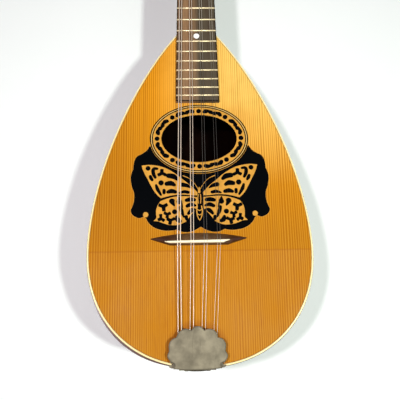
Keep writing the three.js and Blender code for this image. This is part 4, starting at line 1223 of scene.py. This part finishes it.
# Bridge
def bridge_ring(x):
    """The section of the bridge at a distance from its middle"""
    out = abs(x)
    tip = 40.4
    tail = -2.6 + max(0, (out - 24.4) / (tip - 24.4)) * 5.2
    neck = 7.8 - 4.4 * (out / tip) ** 2
    high = 6.6 - max(0, (out - 29) / (tip - 29)) * 4.4
    ridge = 2.3 * min(1, max(0, (31 - out) / 4))
    width = neck - tail
    edge = min(2.2, high * 0.6)
    step = tail + width * 0.32
    section = [(tail, 0), (tail, high - 0.5), (tail + min(0.4, width / 8), high),
               (tail + width * 0.1, high), (tail + width * 0.14, high + ridge),
               (step, high + ridge * 0.9), (step + (neck - step) * 0.35, high * 0.84 + ridge * 0.3),
               (step + (neck - step) * 0.7, high * 0.55), (neck - 0.15, edge * 0.7),
               (neck, edge * 0.5), (neck, 0)]
    return [Vector((x - 1.3, -height, place - mm("scale_length"))) for place, height in section]


# Distances of the bridge's sections from its middle
BRIDGE_STATIONS = (0, 10, 16, 21.3, 24.4, 27, 29, 31, 34, 38, 40.0, 40.4)
# Place, thickness and height of the saddle's sections
SADDLE_STATIONS = [
    (-29.8, 0.3, 8.2), (-29.2, 0.5, 8.7), (-25.4, 1.5, 9.3), (-10, 1.8, 9.45), (6, 2, 9.45),
    (19, 2.2, 9.3), (24.6, 0.6, 8.7), (25.2, 0.3, 8.2),
]


def make_bridge():
    bm = bmesh.new()
    loft(bm, [bridge_ring(x) for x in (*(-x for x in BRIDGE_STATIONS[:0:-1]), *BRIDGE_STATIONS)])
    piece(bm, "bridge_foot", "bridge", replaces=["bridge_base"], sharp=40)
    bm = bmesh.new()
    rings = []
    for x, thick, high in SADDLE_STATIONS:
        far = -340.4 + (x + 29.8) / 55 * 0.85
        near, edge = far - thick, min(0.3, thick / 4)
        section = ((near, 6), (near, high - edge), (near + edge, high), (far - edge, high),
                   (far, high - edge), (far, 6))
        rings.append([Vector((x, -depth, z)) for z, depth in section])
    loft(bm, rings)
    piece(bm, "bridge_crown", "bone", replaces=["bridge_saddle"], sharp=50)


# Tailpiece
COVER_RUNS = [
    [(-19.6, -102), (-18.2, -100.2), (-18.7, -97.8)],
    [(-18.7, -97.8), (-22, -96.2), (-24.1, -92), (-22.8, -88.4)],
    [(-22.8, -88.4), (-22.9, -83.4), (-20.6, -79.4), (-16.9, -77.7)],
    [(-16.9, -77.7), (-14.8, -73.6), (-9.6, -71), (-4.8, -72.4)],
    [(-4.8, -72.4), (-2.6, -69.9), (0.4, -69.3), (3.4, -69.9), (5.6, -72.4)],
    [(5.6, -72.4), (10.6, -71.4), (15.2, -74.2), (16.6, -78.3)],
    [(16.6, -78.3), (20.4, -79.6), (22.8, -83.6), (22.3, -88.8)],
    [(22.3, -88.8), (24.1, -92.4), (22.2, -96.4), (18.7, -98)],
    [(18.7, -98), (18.2, -100.2), (19.6, -102)],
]
PLATE_RUNS = [
    [(-19.4, -102.4), (-21.8, -102.2), (-23.2, -100.6), (-20.4, -99.4), (-19.6, -96)],
    [(-19.6, -96), (-19.6, -86), (-15, -79.4), (-9, -75.4)],
    [(-9, -75.4), (0, -73.8), (9, -75.4)],
    [(9, -75.4), (15, -79.4), (19.6, -86), (19.6, -96)],
    [(19.6, -96), (20.4, -99.4), (23.2, -100.6), (21.8, -102.2), (19.4, -102.4)],
]


def tail_points(runs):
    """Smooth runs drawn from the tailpiece's middle line and the saddle, as places in the tail frame"""
    return [Vector((point.x + TAIL_X, point.y + 7.9)) for point in smooth_runs(runs, 5)]


def drawn_in(points, distance):
    """An outline with its points moved towards its middle"""
    middle = sum(points, Vector((0, 0))) / len(points)
    return [point + (middle - point).normalized() * distance for point in points]


def pressed_cover(bm, points, front, rim):
    """A hollow pressed plate whose face stands out from a soft rim, with its sides folded back"""
    steps = ((1.1, front + 0.9), (0.9, rim), (0, rim), (0, front + 0.5), (0.2, front + 0.24),
             (0.5, front + 0.2), (0.7, front + 0.05), (0.8, front), (1.1, front))
    loft(bm, [on_plane(drawn_in(points, inset), depth) for inset, depth in steps])


def make_tailpiece():
    front = -1.3
    bm = bmesh.new()
    plate(bm, tail_points(PLATE_RUNS), front, -0.3)
    piece(bm, "tail_plate", "nickel", replaces=["tailpiece_base"], matrix=tail_frame())
    # The lower lip is dark nickel, painted shadow under the cover's lower edge.
    bm = bmesh.new()
    lip = [(TAIL_X + 21 * across, -93.9 - 3.3 * (1 - across ** 2))
           for across in (step / 12 - 1 for step in range(25))]
    plate(bm, [*lip, (17.1, -91), (-24.9, -91)], front + 0.3, -0.3, 0.2)
    piece(bm, "tail_lip", "aged_nickel", replaces=["tailpiece_base"],
          matrix=tail_frame())
    bm = bmesh.new()
    top = board_surface(tail_z()) + front
    outline = [(-15, 0), (-15, 16), (-9, 21.5), (0, 24), (9, 21.5), (15, 16), (15, 0)]
    flange_low = tail_z() - GLUE_GAP - 1
    corners = [Vector((x + TAIL_X, top + y, flange_low)) for x, y in outline]
    loft(bm, [corners, [corner + Vector((0, 0, 1)) for corner in corners]])
    rim = [item for item in bm.edges if abs(item.verts[0].co.z - item.verts[1].co.z) < 1e-6]
    round_off(bm, rim, 0.2)
    for across, down in ((-0.6, 0.35), (0.6, 0.35), (0, 0.72)):
        x, y = TAIL_X + across * 15, top + down * 24
        turned(bm, [(0, 0), (2.4, 0), (2.2, 0.5), (1.2, 0.95), (0, 1)],
               Matrix.Translation((x, y, flange_low)) @ Matrix.Rotation(pi, 4, "X"))
    piece(bm, "tail_flange", "nickel", replaces=["tailpiece_base"])
    bm = bmesh.new()
    for string in string_list():
        hook = [(string[4], y, z)
                for y, z in ((-1.0, -84), (-3.4, -84), (-5.0, -84.7), (-5.3, -86.2), (-4.6, -87.2))]
        tube(bm, spline(hook, 5), 0.6)
    piece(bm, "string_hooks", "nickel", replaces=["tailpiece_base"], matrix=tail_frame())

    outline = tail_points(COVER_RUNS)
    left, right = outline[0], outline[-1]
    bottom = [right.lerp(left, step / 12) - Vector((0, 1.1 * sin(pi * step / 12)))
              for step in range(1, 12)]
    bm = bmesh.new()
    pressed_cover(bm, [*outline, *bottom], -9.4, -8.3)
    for side in (-1, 1):
        near = TAIL_X + side * 20.6
        low_x, high_x = sorted((near, near + side))
        block(bm, (low_x, -8.9, -90), (high_x, -0.6, -74), edge=0.3)
    piece(bm, "cover", "nickel", body="cover", replaces=["tailpiece_cover"],
          matrix=tail_frame())


# Tuning machines
STRAP_FRONT = HEAD_THICKNESS + GLUE_GAP
STRAP_BACK = STRAP_FRONT + 1
GEAR_MIDDLE = STRAP_BACK + 3.6 + 0.3
WORM_CENTRE = 9.3
TEETH = 14
PITCH_RADIUS = 6.3
WORM_LEAD = 2 * pi * PITCH_RADIUS / TEETH
TOOTH = ((-0.85, 5.3), (-0.6, 6.1), (-0.4, 6.8), (0.4, 6.8), (0.6, 6.1), (0.85, 5.3))
STRAP_SCREW_X = 27.6
POST_PROFILE = [
    (0, -10.5), (2.6, -10.5), (3, -10.1), (3, -7.4), (2.75, -6), (3, -4.6), (3, 15.6), (4, 15.6),
    (4, 18.1), (3, 18.1), (3, 20.6), (2.7, 22), (0, 22),
]
WORM_PROFILE = [
    (0, -6.8), (1.5, -6.8), (1.5, -4.9), (2, -4.9), (2, 4.9), (1.5, 4.9), (1.5, 20), (0, 20),
]
BUTTON_PROFILE = [
    (0, 14.5), (2.6, 14.5), (3.3, 14.8), (3.6, 15.6), (5.6, 17.4), (7.4, 19.4), (8, 21.2), (7.8, 23),
    (6.7, 24.5), (4.6, 25.3), (0, 25.5),
]


def gear_outline():
    points = []
    for tooth in range(TEETH):
        turn = 2 * pi * tooth / TEETH
        for across, out in TOOTH:
            points.append((across * cos(turn) + out * sin(turn),
                           -across * sin(turn) + out * cos(turn)))
    return points


def make_tuners():
    twist = WORM_LEAD / (2 * pi * 3 * PITCH_RADIUS)
    for name, side, x, z in post_places():
        bm = bmesh.new()
        plate(bm, gear_outline(), GEAR_MIDDLE - 1.4, GEAR_MIDDLE + 1.4)
        for corner in bm.verts:
            turn = twist * (corner.co.y - GEAR_MIDDLE)
            corner.co = Matrix.Rotation(turn, 3, "Y") @ corner.co
        place = Matrix.Translation((x, 0, z))
        bmesh.ops.transform(bm, matrix=place, verts=bm.verts[:])
        turned(bm, POST_PROFILE, place @ Matrix.Rotation(-pi / 2, 4, "X"))
        piece(bm, f"post_and_gear_{name}", "brass", body=f"post_{name}",
              replaces=[f"string_post_{name}"], matrix=head_frame())

        spot = head_frame() @ Matrix.Translation((x, GEAR_MIDDLE, z + WORM_CENTRE))
        bm = bmesh.new()
        turned(bm, WORM_PROFILE, Matrix.Rotation(pi / 2, 4, "Y"), steps=20)
        steps = 70
        rings = []
        for step in range(steps + 1):
            along = 3.7 * (2 * step / steps - 1)
            turn = 2 * pi * (along / WORM_LEAD - 0.75)
            rings.append([(along + half, radius * cos(turn), radius * sin(turn))
                          for radius, half in ((1.6, 0.78), (1.6, -0.78), (3.6, -0.36), (3.6, 0.36))])
        loft(bm, rings)
        if side < 0:
            bmesh.ops.rotate(bm, matrix=Matrix.Rotation(pi, 3, "Z"), verts=bm.verts[:])
        piece(bm, f"worm_{name}", "steel", body=f"tuner_{name}",
              replaces=[f"worm_shaft_{name}"], matrix=spot, sharp=30)

        bm = bmesh.new()
        turned(bm, BUTTON_PROFILE, Matrix.Rotation(pi / 2, 4, "Y"), steps=32)
        bmesh.ops.scale(bm, vec=(1, 0.55, 1), verts=bm.verts[:])
        if side < 0:
            bmesh.ops.rotate(bm, matrix=Matrix.Rotation(pi, 3, "Z"), verts=bm.verts[:])
        piece(bm, f"button_{name}", "button", body=f"tuner_{name}",
              replaces=[f"tuner_button_{name}"], matrix=spot, sharp=50)


def rounded_box(low, high, corner, steps=5):
    """A rectangle with round corners"""
    points = []
    corners = ((high[0], high[1]), (low[0], high[1]), (low[0], low[1]), (high[0], low[1]))
    for index, (x, z) in enumerate(corners):
        centre = (x - copysign(corner, x - (low[0] + high[0]) / 2),
                  z - copysign(corner, z - (low[1] + high[1]) / 2))
        for step in range(steps + 1):
            turn = pi / 2 * (index + step / steps)
            points.append((centre[0] + corner * cos(turn), centre[1] + corner * sin(turn)))
    return points


def make_plates():
    """The brass straps behind the headstock, with a bearing lug at each end of every worm"""
    front, back = STRAP_FRONT, STRAP_BACK
    screws, slots = bmesh.new(), bmesh.new()
    for name, side in (("bass", -1), ("treble", 1)):
        bm, cutter = bmesh.new(), bmesh.new()
        near, far = sorted((12 * side, 30 * side))
        plate(bm, rounded_box((near, 18.2), (far, 116.3), 2.5), back, front, 0.25)
        for spot in POST_SPOTS:
            middle = spot + WORM_CENTRE
            arch = [(back - 0.4, middle + 3), *(
                (GEAR_MIDDLE + 3 * sin(turn), middle + 3 * cos(turn))
                for turn in (pi * step / 12 for step in range(13))), (back - 0.4, middle - 3)]
            for start in (-6.5, 5.3):
                loft(bm, [[Vector((side * (POST_X + start + wide), y, z)) for y, z in arch]
                          for wide in (0, 1.2)])
            screw_x = STRAP_SCREW_X * side
            head = Matrix.Translation((screw_x, back, spot - 1.7)) @ Matrix.Rotation(-pi / 2, 4, "X")
            turned(screws, [(0, 0), (1.7, 0), (1.7, 0.25), (1.3, 0.62), (0.6, 0.78), (0, 0.8)], head)
            block(slots, (screw_x - 2, back + 0.35, spot - 1.95), (screw_x + 2, back + 2, spot - 1.45))
            rod(cutter, BORE, (POST_X * side, front - 1, spot), (POST_X * side, back + 1, spot))
            rod(cutter, 1.9, (10 * side, GEAR_MIDDLE, middle), (32 * side, GEAR_MIDDLE, middle))
        made = piece(bm, f"tuner_strap_{name}", "aged_brass", replaces=[f"tuner_plate_{name}"],
                     matrix=head_frame())
        bmesh.ops.transform(cutter, matrix=head_frame(), verts=cutter.verts[:])
        cut_away(made, cutter)
    made = piece(screws, "strap_screws", "steel", matrix=head_frame())
    bmesh.ops.transform(slots, matrix=head_frame(), verts=slots.verts[:])
    cut_away(made, slots)
    bm = bmesh.new()
    for name, side, x, z in post_places():
        band(bm, disc(x, z, 4.9, 32), disc(x, z, BORE, 32), -0.7, 0.2)
    piece(bm, "post_collars", "brass", matrix=head_frame())


# Strings
STRING_AT_NUT = -5.6
STRING_AT_SADDLE = -9.43


def make_strings():
    places = {name: (side, x, z) for name, side, x, z in post_places()}
    scale = mm("scale_length")
    for name, radius, nut_x, saddle_x, hook_x in string_list():
        side, post_x, post_z = places[name]
        centre = Vector((hook_x, -3.2, -84))
        loop = [tail_frame() @ (centre + 1.25 * Vector((sin(turn), 0, cos(turn))))
                for turn in (2 * pi * step / 16 for step in range(1, 17))]
        coil = 3.12 + radius
        head = [Vector((post_x - side * coil * cos(turn), -6 - (turn * radius) / pi * 0.9,
                        post_z + coil * sin(turn)))
                for turn in (2 * pi * step / 24 for step in range(0, 72))]
        path = [*loop,
                tail_frame() @ Vector((hook_x, -3.3, -80)),
                Vector((saddle_x, STRING_AT_SADDLE, -scale - 2.3)),
                Vector((saddle_x, STRING_AT_SADDLE, -scale + 1.9)),
                Vector((nut_x, STRING_AT_NUT, -0.2)), Vector((nut_x, STRING_AT_NUT, NUT_DEPTH + 0.2)),
                *(head_frame() @ place for place in head)]
        bm = bmesh.new()
        tube(bm, path, radius)
        wire = "bronze_wire" if name[0] in "gd" else "steel_wire"
        piece(bm, f"wire_{name}", wire, replaces=[f"string_{name}"], sharp=70)


# Stage. Its places are in metres, as the camera and the lamps stand outside the object.
CAMERA_PLACE = (-0.0109, -0.4320, -0.4261)
CAMERA_TURNS = (1.504, 15.904, -1.137)
CAMERA_LENS = 46.74
CAMERA_SENSOR = 36
WALL_Y = 0.152
FLOOR_Z = -0.8
COVE = 0.25
STAGE_SIDE = 2.5
WALL_TOP = 1.6
WORLD_LIGHT = 0.06
LAMPS = {
    "right lamp": {"place": (0.21, -0.75, -0.5), "aim": (0, 0, 0.1), "size": 0.04, "power": 5.4,
                   "tint": (0.89, 1, 0.91)},
    "left lamp": {"place": (-0.175, -0.75, -0.425), "aim": (0, 0, -0.2), "size": 0.04, "power": 4,
                  "tint": (1, 0.93, 0.98)},
    "upper lamp": {"place": (0.42, -1.1, 0.7), "aim": (0.03, 0, -0.2), "size": 0.8, "power": 1.5},
    "rear lamp": {"place": (0.5, 1.2, 0.3), "aim": (0, 0.1, -0.25), "size": 0.5, "power": 12},
}


def lamp(name, place, aim, size, power, tint=(1, 1, 1)):
    light = bpy.data.lights.new(name, "AREA")
    light.shape = "DISK"
    light.size = size
    light.energy = power
    light.color = tint
    made = bpy.data.objects.new(name, light)
    bpy.context.scene.collection.objects.link(made)
    toward = Vector(aim) - Vector(place)
    made.matrix_world = Matrix.Translation(place) @ toward.to_track_quat("-Z", "Y").to_matrix().to_4x4()


def seen_directly(tree):
    """1 for the camera's rays, reflections and what shows through glass, 0 for light on the object"""
    path = node(tree, "LightPath")
    seen = maths(tree, "MAXIMUM", path.outputs["Is Camera Ray"], path.outputs["Is Glossy Ray"])
    return maths(tree, "MAXIMUM", seen, path.outputs["Is Transmission Ray"])


def stage_material():
    """Pale grey paper, white to the camera where no shadow falls on it, and open from behind"""
    material, tree, shader, place = new_material("Pale stage")
    tree.nodes.remove(shader)
    fleck = noise(tree, place, 400, 2)
    tone = mix(tree, product(tree, fleck, 0.06), (0.97, 0.97, 0.97), (0.9, 0.9, 0.9))
    up = split(tree, place)[2]
    tone = mix(tree, spread(tree, up, -0.1, -0.5), tone, (0.9, 0.9, 0.9))
    tone = mix(tree, spread(tree, up, -0.5, -0.7), tone, (0.35, 0.35, 0.35))
    paper = node(tree, "BsdfDiffuse", {"Color": tone})
    light = product(tree, seen_directly(tree), spread(tree, up, -0.75, -0.55, 0.8, 0.18))
    glow = node(tree, "Emission", {"Color": (0.95, 1, 0.98), "Strength": light})
    front = node(tree, "AddShader", {0: paper.outputs[0], 1: glow.outputs[0]})
    clear = node(tree, "BsdfTransparent")
    behind = node(tree, "NewGeometry").outputs["Backfacing"]
    both = node(tree, "MixShader", {0: behind, 1: front.outputs[0], 2: clear.outputs[0]})
    tree.links.new(both.outputs[0], tree.nodes["Material Output"].inputs["Surface"])
    return material


def make_camera():
    scene = bpy.context.scene
    camera = bpy.data.objects.new("camera", bpy.data.cameras.new("camera"))
    camera.data.lens = CAMERA_LENS
    camera.data.sensor_width = CAMERA_SENSOR
    scene.collection.objects.link(camera)
    yaw, tilt, roll = (radians(turn) for turn in CAMERA_TURNS)
    right = Vector((cos(yaw), -sin(yaw), 0))
    ahead = Vector((sin(yaw) * cos(tilt), cos(yaw) * cos(tilt), sin(tilt)))
    up = right.cross(ahead)
    axes = Matrix((cos(roll) * right + sin(roll) * up, cos(roll) * up - sin(roll) * right, -ahead))
    camera.matrix_world = Matrix.Translation(CAMERA_PLACE) @ axes.transposed().to_4x4()
    scene.camera = camera


def make_backdrop():
    """A floor that runs up into a wall by a round cove"""
    foot = WALL_Y - COVE
    turns = (pi / 2 * step / 12 for step in range(1, 12))
    curve = [(-STAGE_SIDE, FLOOR_Z), (foot, FLOOR_Z),
             *((foot + COVE * sin(turn), FLOOR_Z + COVE - COVE * cos(turn)) for turn in turns),
             (WALL_Y, FLOOR_Z + COVE), (WALL_Y, WALL_TOP)]
    bm = bmesh.new()
    corners = [bm.verts.new((-STAGE_SIDE, y, z)) for y, z in curve]
    edges = [bm.edges.new(pair) for pair in zip(corners, corners[1:])]
    shift(bm, bmesh.ops.extrude_edge_only(bm, edges=edges), (2 * STAGE_SIDE, 0, 0))
    bm.normal_update()
    if sum(face.normal.z for face in bm.faces) < 0:
        bmesh.ops.reverse_faces(bm, faces=bm.faces[:])
    mesh = bpy.data.meshes.new("backdrop")
    bm.to_mesh(mesh)
    bm.free()
    mesh.shade_smooth()
    mesh.materials.append(stage_material())
    backdrop = bpy.data.objects.new("backdrop", mesh)
    bpy.context.scene.collection.objects.link(backdrop)


def make_stage():
    make_camera()
    make_backdrop()
    for name, settings in LAMPS.items():
        lamp(name, **settings)
    scene = bpy.context.scene
    scene.world = bpy.data.worlds.new("studio")
    scene.world.use_nodes = True
    tree = scene.world.node_tree
    sky = tree.nodes["Background"].inputs
    sky["Color"].default_value = (1, 1, 1, 1)
    tree.links.new(spread(tree, seen_directly(tree), 0, 1, WORLD_LIGHT, 1), sky["Strength"])
    scene.view_settings.view_transform = "Standard"


# Operators, panel and registration
class MANDOLIN_OT_build_body(bpy.types.Operator):
    """Builds the soundboard and its cream edge"""
    bl_idname = "mandolin.build_body"
    bl_label = "Soundboard"

    def execute(self, context):
        make_soundboard()
        return {"FINISHED"}


class MANDOLIN_OT_build_bowl(bpy.types.Operator):
    """Builds the ribs of the bowl and the pale lines between them"""
    bl_idname = "mandolin.build_bowl"
    bl_label = "Bowl"

    def execute(self, context):
        make_bowl()
        return {"FINISHED"}


class MANDOLIN_OT_build_inlays(bpy.types.Operator):
    """Builds the rosette, the pickguard and the butterfly"""
    bl_idname = "mandolin.build_inlays"
    bl_label = "Inlays"

    def execute(self, context):
        make_rosette()
        make_guard()
        make_butterfly()
        return {"FINISHED"}


class MANDOLIN_OT_build_neck(bpy.types.Operator):
    """Builds the neck and the headstock"""
    bl_idname = "mandolin.build_neck"
    bl_label = "Neck"

    def execute(self, context):
        make_neck()
        return {"FINISHED"}


class MANDOLIN_OT_build_fingerboard(bpy.types.Operator):
    """Builds the fingerboard with its edges, frets and dots, and dresses the nut"""
    bl_idname = "mandolin.build_fingerboard"
    bl_label = "Fingerboard"

    def execute(self, context):
        make_fingerboard()
        return {"FINISHED"}


class MANDOLIN_OT_build_bridge(bpy.types.Operator):
    """Builds the bridge and its bone saddle"""
    bl_idname = "mandolin.build_bridge"
    bl_label = "Bridge"

    def execute(self, context):
        make_bridge()
        return {"FINISHED"}


class MANDOLIN_OT_build_tailpiece(bpy.types.Operator):
    """Builds the tailpiece, its hooks and its sliding cover"""
    bl_idname = "mandolin.build_tailpiece"
    bl_label = "Tailpiece"

    def execute(self, context):
        make_tailpiece()
        return {"FINISHED"}


class MANDOLIN_OT_build_tuners(bpy.types.Operator):
    """Builds the posts, gears, worms and buttons, and the straps that carry them"""
    bl_idname = "mandolin.build_tuners"
    bl_label = "Tuning machines"

    def execute(self, context):
        make_tuners()
        make_plates()
        return {"FINISHED"}


class MANDOLIN_OT_build_strings(bpy.types.Operator):
    """Builds the eight strings"""
    bl_idname = "mandolin.build_strings"
    bl_label = "Strings"

    def execute(self, context):
        make_strings()
        return {"FINISHED"}


class MANDOLIN_OT_build_stage(bpy.types.Operator):
    """Builds the camera, the lamps, the backdrop and the world"""
    bl_idname = "mandolin.build_stage"
    bl_label = "Stage"

    def execute(self, context):
        make_stage()
        return {"FINISHED"}


BUILDERS = [
    MANDOLIN_OT_build_body, MANDOLIN_OT_build_bowl, MANDOLIN_OT_build_inlays, MANDOLIN_OT_build_neck,
    MANDOLIN_OT_build_fingerboard, MANDOLIN_OT_build_bridge, MANDOLIN_OT_build_tailpiece,
    MANDOLIN_OT_build_tuners, MANDOLIN_OT_build_strings, MANDOLIN_OT_build_stage,
]


class MANDOLIN_PT_panel(bpy.types.Panel):
    """Sizes, colours and building steps of the mandolin"""
    bl_idname = "MANDOLIN_PT_panel"
    bl_label = "Mandolin"
    bl_space_type = "VIEW_3D"
    bl_region_type = "UI"
    bl_category = "Mandolin"

    def draw(self, context):
        for group in (context.scene.mandolin_sizes, context.scene.mandolin_colours):
            box = self.layout.box()
            for name in group.__annotations__:
                box.prop(group, name)
        for kind in BUILDERS:
            self.layout.operator(kind.bl_idname)


CLASSES = [MandolinSizes, MandolinColours, *BUILDERS, MANDOLIN_PT_panel]


def register():
    for kind in CLASSES:
        bpy.utils.register_class(kind)
    bpy.types.Scene.mandolin_sizes = PointerProperty(type=MandolinSizes)
    bpy.types.Scene.mandolin_colours = PointerProperty(type=MandolinColours)


def unregister():
    del bpy.types.Scene.mandolin_colours
    del bpy.types.Scene.mandolin_sizes
    for kind in reversed(CLASSES):
        bpy.utils.unregister_class(kind)


def main():
    register()
    for kind in BUILDERS:
        step = kind.bl_idname.split(".")[1]
        getattr(bpy.ops.mandolin, step)()


if __name__ == "__main__":
    main()
